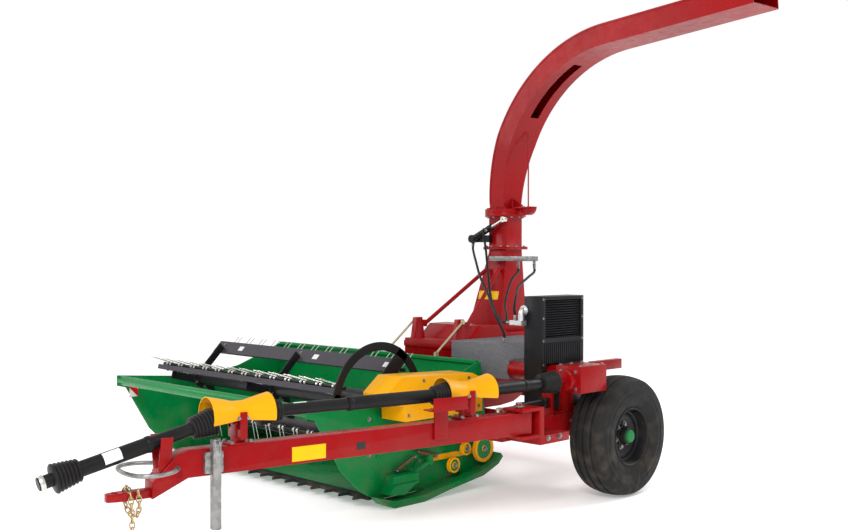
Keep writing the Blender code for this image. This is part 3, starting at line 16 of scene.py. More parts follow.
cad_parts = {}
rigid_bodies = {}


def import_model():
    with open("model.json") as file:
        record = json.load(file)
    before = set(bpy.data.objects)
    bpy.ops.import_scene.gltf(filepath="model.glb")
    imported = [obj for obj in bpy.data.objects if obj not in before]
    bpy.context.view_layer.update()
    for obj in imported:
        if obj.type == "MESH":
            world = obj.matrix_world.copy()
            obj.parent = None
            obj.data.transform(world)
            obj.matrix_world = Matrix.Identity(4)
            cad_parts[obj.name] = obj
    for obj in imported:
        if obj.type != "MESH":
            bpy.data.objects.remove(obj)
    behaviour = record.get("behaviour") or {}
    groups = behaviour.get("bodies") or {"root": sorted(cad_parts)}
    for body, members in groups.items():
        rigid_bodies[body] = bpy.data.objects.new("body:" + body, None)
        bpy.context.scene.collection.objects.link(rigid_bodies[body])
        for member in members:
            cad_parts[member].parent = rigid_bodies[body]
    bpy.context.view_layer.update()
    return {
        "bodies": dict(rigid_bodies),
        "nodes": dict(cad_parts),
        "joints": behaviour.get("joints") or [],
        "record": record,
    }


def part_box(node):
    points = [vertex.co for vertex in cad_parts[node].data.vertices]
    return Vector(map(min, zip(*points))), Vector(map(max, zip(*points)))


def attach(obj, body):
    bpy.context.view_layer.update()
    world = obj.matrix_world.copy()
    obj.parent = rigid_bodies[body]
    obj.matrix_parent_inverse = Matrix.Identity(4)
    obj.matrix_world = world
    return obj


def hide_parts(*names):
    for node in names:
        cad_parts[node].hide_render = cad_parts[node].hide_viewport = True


for left_over in list(bpy.data.objects):
    bpy.data.objects.remove(left_over, do_unlink=True)

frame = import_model()
NODES = frame["nodes"]
JOINTS = {joint["name"]: joint for joint in frame["joints"]}

# %% [markdown]
# ## Three frames to measure in
# A maker measures from the part being built, not from the corner of the workshop. The machine's own
# zero is the ground under the middle of the axle. The drawbar's zero is its upright pin, and the
# spout's is the middle of the ring it turns on. A matrix for each turns their measures into the
# model's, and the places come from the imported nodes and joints, so nothing is fitted by hand.

# %% Frames of the machine, the drawbar and the spout
def middle(node):
    low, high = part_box(node)
    return (Vector(low) + Vector(high)) / 2


axle_middle = middle("axle")
MACHINE = Matrix.Translation((axle_middle.x, axle_middle.y, 0.0))
DRAWBAR_YAW = math.radians(-9.5)
drawbar_pin = Vector(JOINTS["drawbar_swing"]["pos_m"])
DRAWBAR = Matrix.Translation((drawbar_pin.x, drawbar_pin.y, 0.0)) @ Matrix.Rotation(DRAWBAR_YAW, 4, "Z")
flap_axis = Vector(JOINTS["flap_tilt"]["axis"])
ring_centre = Vector(JOINTS["spout_slew"]["pos_m"])
SPOUT = (Matrix.Translation((ring_centre.x, ring_centre.y, 0.0))
         @ Matrix.Rotation(math.atan2(-flap_axis.x, flap_axis.y), 4, "Z"))
DRIVE_Z = 0.855                         # height of the drive line
print("machine zero", tuple(round(x, 4) for x in axle_middle))

# %% [markdown]
# ## Where the viewer stands
# The machine is seen from its front left corner at eye height. A real camera there, with a short
# portrait lens, keeps upright lines upright, so the camera is level but for half a degree.

# %% Camera
EYE = MACHINE @ Vector((5.72, -6.25, 1.70))
HEADING = math.radians(45.4)            # turned left from straight ahead along +Y
DOWN_TILT = math.radians(0.54)
camera_data = bpy.data.cameras.new("camera")
camera_data.lens = 44.8
camera_data.sensor_width = 36.0
camera = bpy.data.objects.new("camera", camera_data)
camera.location = EYE
camera.rotation_euler = (math.pi / 2 - DOWN_TILT, 0.0, HEADING)
bpy.context.scene.collection.objects.link(camera)
bpy.context.scene.camera = camera

# %% [markdown]
# ## Helpers that turn points into pieces
# Most of the machine is bent sheet, turned steel and bent rod. So four helpers cover it: a loft
# between outlines, a lathe round an axis, a tube along a route, and a block with softened edges. A
# last one cleans the mesh, shades it smooth but for sharp corners, and hands it to its body.

# %% Mesh helpers
def add_loft(bm, rings, closed=True, caps=True):
    rows = [[bm.verts.new(point) for point in ring] for ring in rings]
    count = len(rows[0])
    for a, b in zip(rows, rows[1:]):
        for i in range(count if closed else count - 1):
            j = (i + 1) % count
            bm.faces.new((a[i], a[j], b[j], b[i]))
    if caps:
        bm.faces.new(rows[0][::-1])
        bm.faces.new(rows[-1])


def add_lathe(bm, profile, frame=Matrix(), segments=48, closed=False):
    """Turns (along, radius) pairs round the frame's own X axis."""
    rows = []
    for k in range(segments):
        angle = 2 * math.pi * k / segments
        rows.append([bm.verts.new(frame @ Vector((u, r * math.cos(angle), r * math.sin(angle))))
                     for u, r in profile])
    count = len(profile)
    for k in range(segments):
        a, b = rows[k], rows[(k + 1) % segments]
        for i in range(count if closed else count - 1):
            j = (i + 1) % count
            bm.faces.new((a[i], a[j], b[j], b[i]))


def drum(start, end, radius, edge, drop=None):
    """The outline of a solid turned part whose two rims are broken by edge along and drop across."""
    shoulder = radius - (edge if drop is None else drop)
    return [(start, 0.0), (start, shoulder), (start + edge, radius), (end - edge, radius), (end, shoulder),
            (end, 0.0)]


def band(start, end, inner, radius, edge, drop=None):
    """The outline of a turned ring with a bore, for a closed lathe."""
    shoulder = radius - (edge if drop is None else drop)
    return [(start, inner), (start, shoulder), (start + edge, radius), (end - edge, radius),
            (end, shoulder),
            (end, inner)]


def add_tube(bm, route, radius, sides=12):
    route = [Vector(point) for point in route]
    across = None
    rings = []
    for i, point in enumerate(route):
        along = (route[min(i + 1, len(route) - 1)] - route[max(i - 1, 0)]).normalized()
        if across is None:
            across = along.orthogonal()
        across = (across - along * across.dot(along)).normalized()
        other = along.cross(across)
        rings.append([point + radius * (math.cos(a) * across + math.sin(a) * other)
                      for a in (2 * math.pi * k / sides for k in range(sides))])
    add_loft(bm, rings)


def add_block(bm, low, high, frame=Matrix(), soften=0.003):
    low, high = Vector(low), Vector(high)
    size = Matrix.Diagonal((*(high - low), 1.0))
    made = bmesh.ops.create_cube(bm, size=1.0, matrix=frame @ Matrix.Translation((low + high) / 2) @ size)
    edges = {edge for vert in made["verts"] for edge in vert.link_edges}
    bmesh.ops.bevel(bm, geom=list(edges), offset=soften, segments=2, profile=0.7, affect="EDGES",
                    clamp_overlap=True)


def axis_frame(start, end):
    """A frame at start whose X axis points to end."""
    start, end = Vector(start), Vector(end)
    return Matrix.Translation(start) @ (end - start).to_track_quat("X", "Z").to_matrix().to_4x4()


def smooth_route(points, parts=8):
    """Points on a smooth curve through the given ones."""
    points = [Vector(point) for point in points]
    padded = [points[0] * 2 - points[1]] + points + [points[-1] * 2 - points[-2]]
    route = []
    for a, b, c, d in zip(padded, padded[1:], padded[2:], padded[3:]):
        for i in range(parts):
            t = i / parts
            route.append(0.5 * (2 * b + (c - a) * t + (2 * a - 5 * b + 4 * c - d) * t * t
                                + (3 * b - a - 3 * c + d) * t ** 3))
    return route + [points[-1]]


PIECES = {}
WELD = 1e-5                             # points this close are one


def hand_over(name, mesh, body, look, slot, replaced=(), sharp=34.0):
    mesh.shade_smooth()
    mesh.set_sharp_from_angle(angle=math.radians(sharp))
    if look is not None:
        mesh.materials.clear()
        mesh.materials.append(look)
    made = bpy.data.objects.new(name, mesh)
    bpy.context.scene.collection.objects.link(made)
    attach(made, body)
    if replaced:
        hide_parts(*replaced)
    PIECES[name] = made
    return made


def publish(name, bm, body, look, slot, replaced=(), frame=Matrix(), sharp=34.0):
    bmesh.ops.remove_doubles(bm, verts=bm.verts, dist=WELD)
    bmesh.ops.recalc_face_normals(bm, faces=bm.faces)
    bm.transform(frame)
    mesh = bpy.data.meshes.new(name)
    bm.to_mesh(mesh)
    bm.free()
    return hand_over(name, mesh, body, look, slot, replaced, sharp)


print("helpers ready")

# %% [markdown]
# ## Finishes
# Real enamel is never one flat colour. It drifts in tone over a panel, has a fine orange-peel skin
# under the gloss, is rougher where hands and crop rub it, and picks up dust near the ground. One
# recipe makes all of that from noise in the object's own coordinates. The gloss itself is a clear
# coat whose numbers stay on the shader, where an export can read them.

# %% Enamel recipe
COAT_ROUGHNESS, PAINT_SPECULAR, METAL_SPECULAR = 0.12, 0.14, 0.5


class Wiring:
    """Short names for building one material's nodes."""

    def __init__(self, name):
        self.look = bpy.data.materials.new(name)
        self.look.use_nodes = True
        self.tree = self.look.node_tree
        self.shader = self.tree.nodes["Principled BSDF"]
        self.place = self.tree.nodes.new("ShaderNodeTexCoord").outputs["Object"]

    def link(self, source, socket):
        self.tree.links.new(source, socket)

    def noise(self, scale, detail=3.0, stretch=None):
        node = self.tree.nodes.new("ShaderNodeTexNoise")
        node.inputs["Scale"].default_value = scale
        node.inputs["Detail"].default_value = detail
        place = self.place
        if stretch:
            mapping = self.tree.nodes.new("ShaderNodeMapping")
            mapping.inputs["Scale"].default_value = stretch
            self.link(place, mapping.inputs["Vector"])
            place = mapping.outputs["Vector"]
        self.link(place, node.inputs["Vector"])
        return node.outputs["Fac"]

    def cells(self, scale, output="Distance"):
        node = self.tree.nodes.new("ShaderNodeTexVoronoi")
        node.inputs["Scale"].default_value = scale
        self.link(self.place, node.inputs["Vector"])
        return node.outputs[output]

    def span(self, value, low, high, to_low, to_high):
        node = self.tree.nodes.new("ShaderNodeMapRange")
        for socket, number in zip(("From Min", "From Max", "To Min", "To Max"),
                                  (low, high, to_low, to_high)):
            node.inputs[socket].default_value = number
        self.link(value, node.inputs["Value"])
        return node.outputs["Result"]

    def maths(self, operation, a, b):
        node = self.tree.nodes.new("ShaderNodeMath")
        node.operation = operation
        for socket, value in zip(node.inputs, (a, b)):
            if isinstance(value, (int, float)):
                socket.default_value = value
            else:
                self.link(value, socket)
        return node.outputs["Value"]

    def mix(self, factor, a, b, kind="MIX"):
        node = self.tree.nodes.new("ShaderNodeMix")
        node.data_type = "RGBA"
        node.blend_type = kind
        for socket, value in ((node.inputs["Factor"], factor), (node.inputs[6], a), (node.inputs[7], b)):
            if isinstance(value, (int, float)):
                socket.default_value = value
            elif isinstance(value, tuple):
                socket.default_value = (*value, 1.0)
            else:
                self.link(value, socket)
        return node.outputs[2]

    def height(self):
        node = self.tree.nodes.new("ShaderNodeSeparateXYZ")
        self.link(self.place, node.inputs["Vector"])
        return node.outputs["Z"]

    def bump(self, value, strength, distance=0.002):
        node = self.tree.nodes.new("ShaderNodeBump")
        node.inputs["Strength"].default_value = strength
        node.inputs["Distance"].default_value = distance
        self.link(value, node.inputs["Height"])
        self.link(node.outputs["Normal"], self.shader.inputs["Normal"])

    def finish(self, colour, roughness, metallic=0.0, coat=0.0):
        self.link(colour, self.shader.inputs["Base Color"])
        self.link(roughness, self.shader.inputs["Roughness"])
        self.shader.inputs["Metallic"].default_value = metallic
        self.shader.inputs["Coat Weight"].default_value = coat
        self.shader.inputs["Coat Roughness"].default_value = COAT_ROUGHNESS
        specular = METAL_SPECULAR if metallic else PAINT_SPECULAR
        self.shader.inputs["Specular IOR Level"].default_value = specular
        return self.look


DUST = (0.20, 0.155, 0.11)


def enamel(name, colour, roughness=0.30, coat=0.06, dust=0.30, grain=95.0, skin=0.10,
           chip=(0.11, 0.10, 0.09)):
    w = Wiring(name)
    shade = w.span(w.noise(1.6, 4.0), 0.3, 0.7, 0.86, 1.10)
    pale = w.mix(1.0, colour, shade, "MULTIPLY")
    low_down = w.span(w.height(), 0.0, 0.75, 1.0, 0.0)
    settled = w.maths("MULTIPLY", low_down, w.span(w.noise(7.0, 5.0), 0.42, 0.72, 0.0, dust))
    dusty = w.mix(settled, pale, DUST)
    worn_here = w.span(w.noise(5.0, 2.0), 0.60, 0.66, 0.0, 1.0)
    chips = w.maths("MULTIPLY", worn_here, w.span(w.cells(85.0), 0.10, 0.06, 0.0, 0.8))
    colour_out = w.mix(chips, dusty, chip)
    rough = w.maths("ADD", w.span(w.noise(16.0, 3.0), 0.35, 0.75, roughness - 0.06, roughness + 0.12),
                    w.maths("MULTIPLY", settled, 0.8))
    w.bump(w.noise(grain, 2.0), skin)
    return w.finish(colour_out, rough, 0.0, coat)


red_enamel = enamel("red_enamel", (0.290, 0.0015, 0.0035))
green_enamel = enamel("green_enamel", (0.0, 0.185, 0.040), 0.30, 0.06)
yellow_enamel = enamel("yellow_enamel", (0.80, 0.36, 0.0), 0.36, 0.05)
black_enamel = enamel("black_enamel", (0.010, 0.010, 0.012), 0.40, 0.10)
board_enamel = enamel("board_enamel", (0.055, 0.050, 0.060), 0.42, 0.15)
plate_yellow = enamel("plate_yellow", (0.84, 0.50, 0.004), 0.45, 0.0, 0.10, 200.0, 0.03)
plate_pale = enamel("plate_pale", (0.78, 0.78, 0.76), 0.45, 0.0, 0.10, 200.0, 0.03)
plate_dark = enamel("plate_dark", (0.03, 0.03, 0.032), 0.45, 0.0, 0.10, 200.0, 0.03)
print("enamels", len(bpy.data.materials))

# %% [markdown]
# ## Bare metals, rubber and plastic
# Zinc shows flat crystals, so its tone comes from cells. Spring steel gets finer cells in a dark brown.
# Rubber is dull and grainy, moulded plastic is finer. The belt cover is coated with grit for a foot
# to stand on, which is a dense speckle in colour and height.

# %% Metal, rubber, plastic and grit
def plated(name, dark, light, roughness, cell=42.0, metallic=0.9):
    w = Wiring(name)
    crystal = w.span(w.cells(cell, "Color"), 0.0, 1.0, 0.0, 1.0)
    tone = w.mix(w.maths("MULTIPLY", crystal, w.span(w.noise(3.0), 0.3, 0.7, 0.4, 1.0)), dark, light)
    rough = w.span(w.noise(22.0, 4.0), 0.3, 0.7, roughness - 0.08, roughness + 0.12)
    w.bump(w.noise(130.0), 0.08)
    return w.finish(tone, rough, metallic)


def moulded(name, colour, roughness, grain, depth, dust):
    w = Wiring(name)
    shade = w.span(w.noise(4.0, 4.0), 0.3, 0.7, 0.75, 1.25)
    base = w.mix(1.0, colour, shade, "MULTIPLY")
    low_down = w.span(w.height(), 0.0, 0.85, 1.0, 0.15)
    settled = w.maths("MULTIPLY", low_down, w.span(w.noise(11.0, 5.0), 0.45, 0.75, 0.0, dust))
    rough = w.span(w.noise(30.0, 3.0), 0.3, 0.7, roughness - 0.07, roughness + 0.10)
    w.bump(w.noise(grain, 3.0), depth)
    return w.finish(w.mix(settled, base, DUST), rough)


zinc = plated("zinc", (0.20, 0.20, 0.195), (0.42, 0.42, 0.41), 0.42)
gold_zinc = plated("gold_zinc", (0.42, 0.29, 0.12), (0.66, 0.52, 0.30), 0.36, 160.0)
bright_steel = plated("bright_steel", (0.55, 0.54, 0.50), (0.78, 0.77, 0.72), 0.28, 200.0)
spring_steel = plated("spring_steel", (0.16, 0.09, 0.05), (0.33, 0.20, 0.12), 0.45, 240.0)
rod_plating = plated("rod_plating", (0.45, 0.38, 0.24), (0.70, 0.62, 0.44), 0.38, 90.0, 0.7)
elbow_metal = plated("elbow_metal", (0.60, 0.61, 0.62), (0.80, 0.81, 0.82), 0.30, 120.0)
tyre_rubber = moulded("tyre_rubber", (0.016, 0.0155, 0.0155), 0.62, 260.0, 0.25, 0.28)
hose_rubber = moulded("hose_rubber", (0.010, 0.010, 0.011), 0.45, 420.0, 0.20, 0.05)
black_plastic = moulded("black_plastic", (0.011, 0.011, 0.012), 0.36, 320.0, 0.10, 0.08)
bellows_rubber = moulded("bellows_rubber", (0.013, 0.012, 0.012), 0.48, 240.0, 0.15, 0.10)


def grit(name):
    w = Wiring(name)
    speck = w.span(w.noise(420.0, 2.0), 0.44, 0.60, 0.0, 1.0)
    tone = w.mix(speck, (0.035, 0.035, 0.038), (0.30, 0.30, 0.32))
    w.bump(w.noise(420.0, 2.0), 0.6, 0.003)
    return w.finish(tone, w.span(w.noise(30.0), 0.3, 0.7, 0.7, 0.9))


def stripes(name):
    """Diagonal bands of a reflector, in the model's own coordinates."""
    w = Wiring(name)
    wave = w.tree.nodes.new("ShaderNodeTexWave")
    wave.bands_direction = "DIAGONAL"
    wave.inputs["Scale"].default_value = 5.2
    w.link(w.place, wave.inputs["Vector"])
    band = w.span(wave.outputs["Fac"], 0.46, 0.54, 0.0, 1.0)
    w.bump(w.cells(500.0), 0.2, 0.001)
    return w.finish(w.mix(band, (0.60, 0.01, 0.012), (0.80, 0.80, 0.80)),
                    w.span(band, 0.0, 1.0, 0.25, 0.35))


grit_cover = grit("grit_cover")
reflector = stripes("reflector_stripes")
print("all finishes", len(bpy.data.materials))

# %% [markdown]
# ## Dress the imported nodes
# Each CAD node already has the right shape, so it keeps it and gets the finish that its slot in the
# record asks for. Cut and bent sheet has no knife-sharp corners though: a two-millimetre round
# catches a line of light. A node's own mesh mustn't change, so the boxy ones are copied, the copy's
# flat triangles are joined to faces, its corners are rounded, and it stands in for the node.

# %% Finish by slot
SLOT_LOOK = {
    "red_paint": red_enamel, "green_paint": green_enamel, "yellow_guard": yellow_enamel,
    "black_paint": black_enamel, "board_paint": board_enamel, "black_plastic": black_plastic,
    "cylinder_paint": black_enamel, "grey_cover": grit_cover, "zinc_steel": zinc,
    "rod_paint": rod_plating, "tyre_rubber": tyre_rubber, "hose_rubber": hose_rubber,
}
NODE_SLOT = {sub["node"]: sub["material_slot"] for sub in frame["record"]["subparts"]}
BODY_OF = {node: body for body, nodes in frame["record"]["behaviour"]["bodies"].items() for node in nodes}
for node, slot in NODE_SLOT.items():
    mesh = NODES[node].data
    mesh.materials.clear()
    mesh.materials.append(SLOT_LOOK[slot])
print("nodes dressed", len(NODE_SLOT))


# %% Rounded copies
def rounded(node, width=0.0025):
    copy = NODES[node].data.copy()
    bm = bmesh.new()
    bm.from_mesh(copy)
    bmesh.ops.remove_doubles(bm, verts=bm.verts, dist=WELD)
    bmesh.ops.dissolve_limit(bm, angle_limit=math.radians(1.0), verts=bm.verts, edges=bm.edges)
    bm.to_mesh(copy)
    bm.free()
    blank = bpy.data.objects.new(node + "_blank", copy)
    bpy.context.scene.collection.objects.link(blank)
    bevel = blank.modifiers.new("corners", "BEVEL")
    bevel.width = width
    bevel.segments = 2
    bevel.limit_method = "ANGLE"
    bevel.angle_limit = math.radians(32.0)
    bevel.use_clamp_overlap = True
    graph = bpy.context.evaluated_depsgraph_get()
    mesh = bpy.data.meshes.new_from_object(blank.evaluated_get(graph))
    bpy.data.objects.remove(blank, do_unlink=True)
    slot = NODE_SLOT[node]
    return hand_over(node + "_rounded", mesh, BODY_OF[node], SLOT_LOOK[slot], slot, (node,), 40.0)


for node in ("main_frame", "axle", "pin_bracket", "chopper_housing", "feed_housing", "discharge_duct",
             "duct_neck", "input_gearbox", "drawbar", "hitch_tongue", "shaft_cradle", "hose_shelf",
             "rod_bracket", "flap", "side_sheet_left", "side_sheet_right", "header_trough", "skid_left",
             "skid_right", "feed_throat", "knife_drive", "belt_guard", "drive_cover", "jack_tube",
             "jack_leg", "valve_block", "bearing_stand_front", "bearing_stand_rear"):
    rounded(node)
print("rounded copies", len(PIECES))

# %% [markdown]
# ## Small parts that repeat: a kit of node trees
# Bolts, ribs, tines, slats and links repeat along a line or sit on given spots. Modelling each by
# hand would be slow and hard to change, so each is one geometry node tree with named inputs. A tree
# ends in Realize Instances and Set Material, its result is turned into a plain mesh, and the mesh is
# handed over like any other piece.

# %% Building and growing a tree
ROW_INPUTS = (("Start", "Vector"), ("Step", "Vector"), ("Count", "Int"))


class Tree:
    """A geometry node tree with named inputs."""

    def __init__(self, name, inputs):
        self.group = bpy.data.node_groups.new(name, "GeometryNodeTree")
        sockets = self.group.interface
        sockets.new_socket("Geometry", in_out="INPUT", socket_type="NodeSocketGeometry")
        for label, kind in inputs:
            sockets.new_socket(label, in_out="INPUT", socket_type="NodeSocket" + kind)
        sockets.new_socket("Look", in_out="INPUT", socket_type="NodeSocketMaterial")
        sockets.new_socket("Geometry", in_out="OUTPUT", socket_type="NodeSocketGeometry")
        self.given = self.group.nodes.new("NodeGroupInput").outputs
        self.made = self.group.nodes.new("NodeGroupOutput")

    def add(self, kind, settings=None, **inputs):
        node = self.group.nodes.new(kind)
        for label, value in (settings or {}).items():
            setattr(node, label, value)
        for label, value in inputs.items():
            socket = node.inputs[label.replace("_", " ")]
            if isinstance(value, bpy.types.NodeSocket):
                self.group.links.new(value, socket)
            else:
                socket.default_value = value
        return node.outputs[0]

    def maths(self, operation, a, b=0.0):
        node = self.group.nodes.new("ShaderNodeMath")
        node.operation = operation
        for socket, value in zip(node.inputs, (a, b)):
            if isinstance(value, bpy.types.NodeSocket):
                self.group.links.new(value, socket)
            else:
                socket.default_value = value
        return node.outputs[0]

    def vector(self, x=0.0, y=0.0, z=0.0):
        return self.add("ShaderNodeCombineXYZ", X=x, Y=y, Z=z)

    def join(self, *parts):
        node = self.group.nodes.new("GeometryNodeJoinGeometry")
        for part in parts:
            self.group.links.new(part, node.inputs[0])
        return node.outputs[0]

    def wire(self, curve, radius, sides=6):
        ring = self.add("GeometryNodeCurvePrimitiveCircle", Resolution=sides, Radius=radius)
        return self.add("GeometryNodeCurveToMesh", Curve=curve, Profile_Curve=ring, Fill_Caps=True)

    def end(self, shape):
        real = self.add("GeometryNodeRealizeInstances", Geometry=shape)
        looked = self.add("GeometryNodeSetMaterial", Geometry=real, Material=self.given["Look"])
        self.group.links.new(looked, self.made.inputs["Geometry"])
        return self.group

    def end_row(self, shape):
        """Repeats one shape from the Start input, a Step at a time, Count times."""
        row = self.add("GeometryNodeMeshLine", Count=self.given["Count"],
                       Start_Location=self.given["Start"],
                       Offset=self.given["Step"])
        return self.end(self.add("GeometryNodeInstanceOnPoints", Points=row, Instance=shape))


def grow(name, group, values, body, look, slot, base=None, frame=Matrix(), sharp=34.0):
    blank = bpy.data.objects.new(name + "_blank", base or bpy.data.meshes.new(name + "_base"))
    bpy.context.scene.collection.objects.link(blank)
    modifier = blank.modifiers.new("shape", "NODES")
    modifier.node_group = group
    for item in group.interface.items_tree:
        if item.in_out == "INPUT" and item.name in values:
            modifier[item.identifier] = values[item.name]
        if item.in_out == "INPUT" and item.name == "Look":
            modifier[item.identifier] = look
    graph = bpy.context.evaluated_depsgraph_get()
    grown = bpy.data.meshes.new_from_object(blank.evaluated_get(graph))
    bpy.data.objects.remove(blank, do_unlink=True)
    bm = bmesh.new()
    bm.from_mesh(grown)
    return publish(name, bm, body, look, slot, (), frame, sharp)


# %% Bolt heads
UP, DOWN, FORWARD, SIDEWAYS = (0, 0, 1), (0, 0, -1), (0, -1, 0), (1, 0, 0)
bolt_tree = Tree("bolt_heads", [("Across", "Float"), ("Height", "Float")])
add, maths, given = bolt_tree.add, bolt_tree.maths, bolt_tree.given
washer = add("GeometryNodeMeshCylinder", Vertices=18, Depth=maths("MULTIPLY", given["Height"], 0.5),
             Radius=maths("MULTIPLY", given["Across"], 0.85))
head = add("GeometryNodeMeshCylinder", Vertices=6, Depth=given["Height"],
           Radius=maths("MULTIPLY", given["Across"], 0.577))
lift = bolt_tree.vector(z=maths("MULTIPLY", given["Height"], 0.6))
head = add("GeometryNodeTransform", Geometry=head, Translation=lift)
way = add("GeometryNodeInputNamedAttribute", {"data_type": "FLOAT_VECTOR"}, Name="facing")
turned_out = add("FunctionNodeAlignRotationToVector", {"axis": "Z"}, Vector=way)
bolt_group = bolt_tree.end(add("GeometryNodeInstanceOnPoints", Points=given["Geometry"],
                               Instance=bolt_tree.join(washer, head), Rotation=turned_out))


def spots_mesh(name, spots):
    mesh = bpy.data.meshes.new(name)
    mesh.from_pydata([tuple(place) for place, _ in spots], [], [])
    attribute = mesh.attributes.new("facing", "FLOAT_VECTOR", "POINT")
    for item, (_, direction) in zip(attribute.data, spots):
        item.vector = Vector(direction).normalized()
    return mesh


def facing(direction, places):
    return [(place, direction) for place in places]


def in_a_circle(count, radius, first_deg=0.0):
    """Pairs of measures round a circle, as for the bolts of a flange."""
    angles = [math.radians(first_deg + 360 * k / count) for k in range(count)]
    return [(radius * math.cos(angle), radius * math.sin(angle)) for angle in angles]


def bolts(name, spots, across, body, look=None, slot="zinc_steel", frame=Matrix()):
    return grow(name, bolt_group, {"Across": across, "Height": across * 0.5}, body, look or zinc, slot,
                spots_mesh(name, spots), frame, 25.0)


print("bolt tree", len(bolt_group.nodes), "nodes")

# %% [markdown]
# ## Wheels
# The tyre is an implement tyre: a flat tread with three rib grooves, round shoulders and thin raised
# rings on its walls. Everything on it is the same all the way round, so a lathe is the honest tool,
# and its outline does the work. The rim is a pressed dish with a rolled lip, six studs and a hub.

# %% Tyres and rims
TREAD = [
    (-0.114, 0.2058), (-0.126, 0.225), (-0.1385, 0.255), (-0.1445, 0.290), (-0.1447, 0.300),
    (-0.1425, 0.303),
    (-0.1430, 0.325), (-0.1446, 0.329), (-0.1440, 0.334), (-0.1400, 0.340), (-0.1380, 0.365),
    (-0.1335, 0.385),
    (-0.1250, 0.3980), (-0.112, 0.4060), (-0.092, 0.4115),
]
GROOVES = (-0.062, 0.0, 0.062)


def tread_crown(u):
    return 0.4223 - 0.0108 * (abs(u) / 0.092) ** 2


half_tread = list(TREAD)
for at in GROOVES:
    for step, drop in ((-0.011, 0.0), (-0.0085, 0.003), (-0.0065, 0.013), (0.0065, 0.013), (0.0085, 0.003),
                       (0.011, 0.0)):
        half_tread.append((at + step, tread_crown(at + step) - drop))
    if at < 0.06:
        half_tread.append((at + 0.031, tread_crown(at + 0.031)))
tyre_outline = half_tread + [(-u, r) for u, r in reversed(TREAD)]
RIM = [
    (0.118, 0.2045), (0.121, 0.1985), (0.117, 0.1915), (0.088, 0.1840), (0.050, 0.1770), (0.043, 0.1650),
    (0.048, 0.1500), (0.046, 0.1150), (0.037, 0.0980), (0.037, 0.0600), (0.029, 0.0600), (0.029, 0.0980),
    (0.038, 0.1180), (0.040, 0.1480), (0.035, 0.1620), (0.030, 0.1760), (-0.090, 0.1860), (-0.117, 0.1940),
    (-0.121, 0.2000), (-0.118, 0.2045), (-0.110, 0.2050), (0.110, 0.2050),
]
HUB = [(0.028, 0.0), (0.028, 0.074), (0.046, 0.073), (0.050, 0.064), (0.090, 0.056), (0.094, 0.051),
       (0.094, 0.0)]
CAP = [(0.088, 0.0), (0.088, 0.047), (0.106, 0.045), (0.113, 0.038), (0.1150, 0.026), (0.1152, 0.0)]
for side, sign in (("left", 1), ("right", -1)):
    centre = Matrix.Translation(middle("tyre_" + side)) @ Matrix.Rotation(0.0 if sign > 0 else math.pi, 4,
                                                                          "Z")
    body = "wheel_" + side
    bm = bmesh.new()
    add_lathe(bm, tyre_outline, centre, 96, closed=True)
    publish("ribbed_tyre_" + side, bm, body, tyre_rubber, "tyre_rubber", ("tyre_" + side,), sharp=50.0)
    bm = bmesh.new()
    add_lathe(bm, RIM, centre, 72, closed=True)
    add_lathe(bm, HUB, centre, 40)
    publish("rim_" + side, bm, body, black_enamel, "black_paint", ("wheel_rim_" + side,))
    bm = bmesh.new()
    add_lathe(bm, CAP, centre, 32)
    publish("hub_cap_" + side, bm, body, green_enamel, "green_paint")
    studs = facing(SIDEWAYS, [(0.037, y, z) for y, z in in_a_circle(6, 0.080, 15)])
    bolts("wheel_studs_" + side, studs, 0.024, body, frame=centre)
print("tyre outline", len(tyre_outline), "points")

# %% [markdown]
# ## Drive shafts and their bellows
# A guarded shaft is a plastic tube with a rubber bellows at each joint. The ribs of a bellows follow
# its axis, and their height changes with a wave, so the tree resamples a line, swells a circle along
# it by that wave and sweeps the circle.

# %% Bellows tree
bellows_tree = Tree("bellows",
                    [("Length", "Float"), ("Ribs", "Int"), ("Narrow", "Float"), ("Wide", "Float"),
                                ("Rib depth", "Float")])
add, maths, given = bellows_tree.add, bellows_tree.maths, bellows_tree.given
spine = add("GeometryNodeCurvePrimitiveLine", End=bellows_tree.vector(x=given["Length"]))
points_along = maths("ADD", maths("MULTIPLY", given["Ribs"], 8.0), 1.0)
spine = add("GeometryNodeResampleCurve", Curve=spine, Count=points_along)
share = add("GeometryNodeSplineParameter")
half_waves = maths("MULTIPLY", maths("MULTIPLY", share, given["Ribs"]), math.pi)
wave = maths("ABSOLUTE", maths("SINE", half_waves))
widening = maths("MULTIPLY", share, maths("SUBTRACT", given["Wide"], given["Narrow"]))
swell = maths("ADD", maths("ADD", given["Narrow"], widening), maths("MULTIPLY", wave, given["Rib depth"]))
circle = add("GeometryNodeCurvePrimitiveCircle", Resolution=36, Radius=1.0)
bellows_group = bellows_tree.end(add("GeometryNodeCurveToMesh", Curve=spine, Profile_Curve=circle,
                                     Scale=swell, Fill_Caps=True))


def bellows(name, narrow_end, wide_end, body, narrow=0.050, wide=0.070, ribs=7):
    length = (Vector(wide_end) - Vector(narrow_end)).length
    return grow(name, bellows_group, {"Length": length, "Ribs": ribs, "Narrow": narrow, "Wide": wide,
                                      "Rib depth": 0.0075}, body, bellows_rubber, "black_plastic",
                frame=axis_frame(narrow_end, wide_end), sharp=60.0)


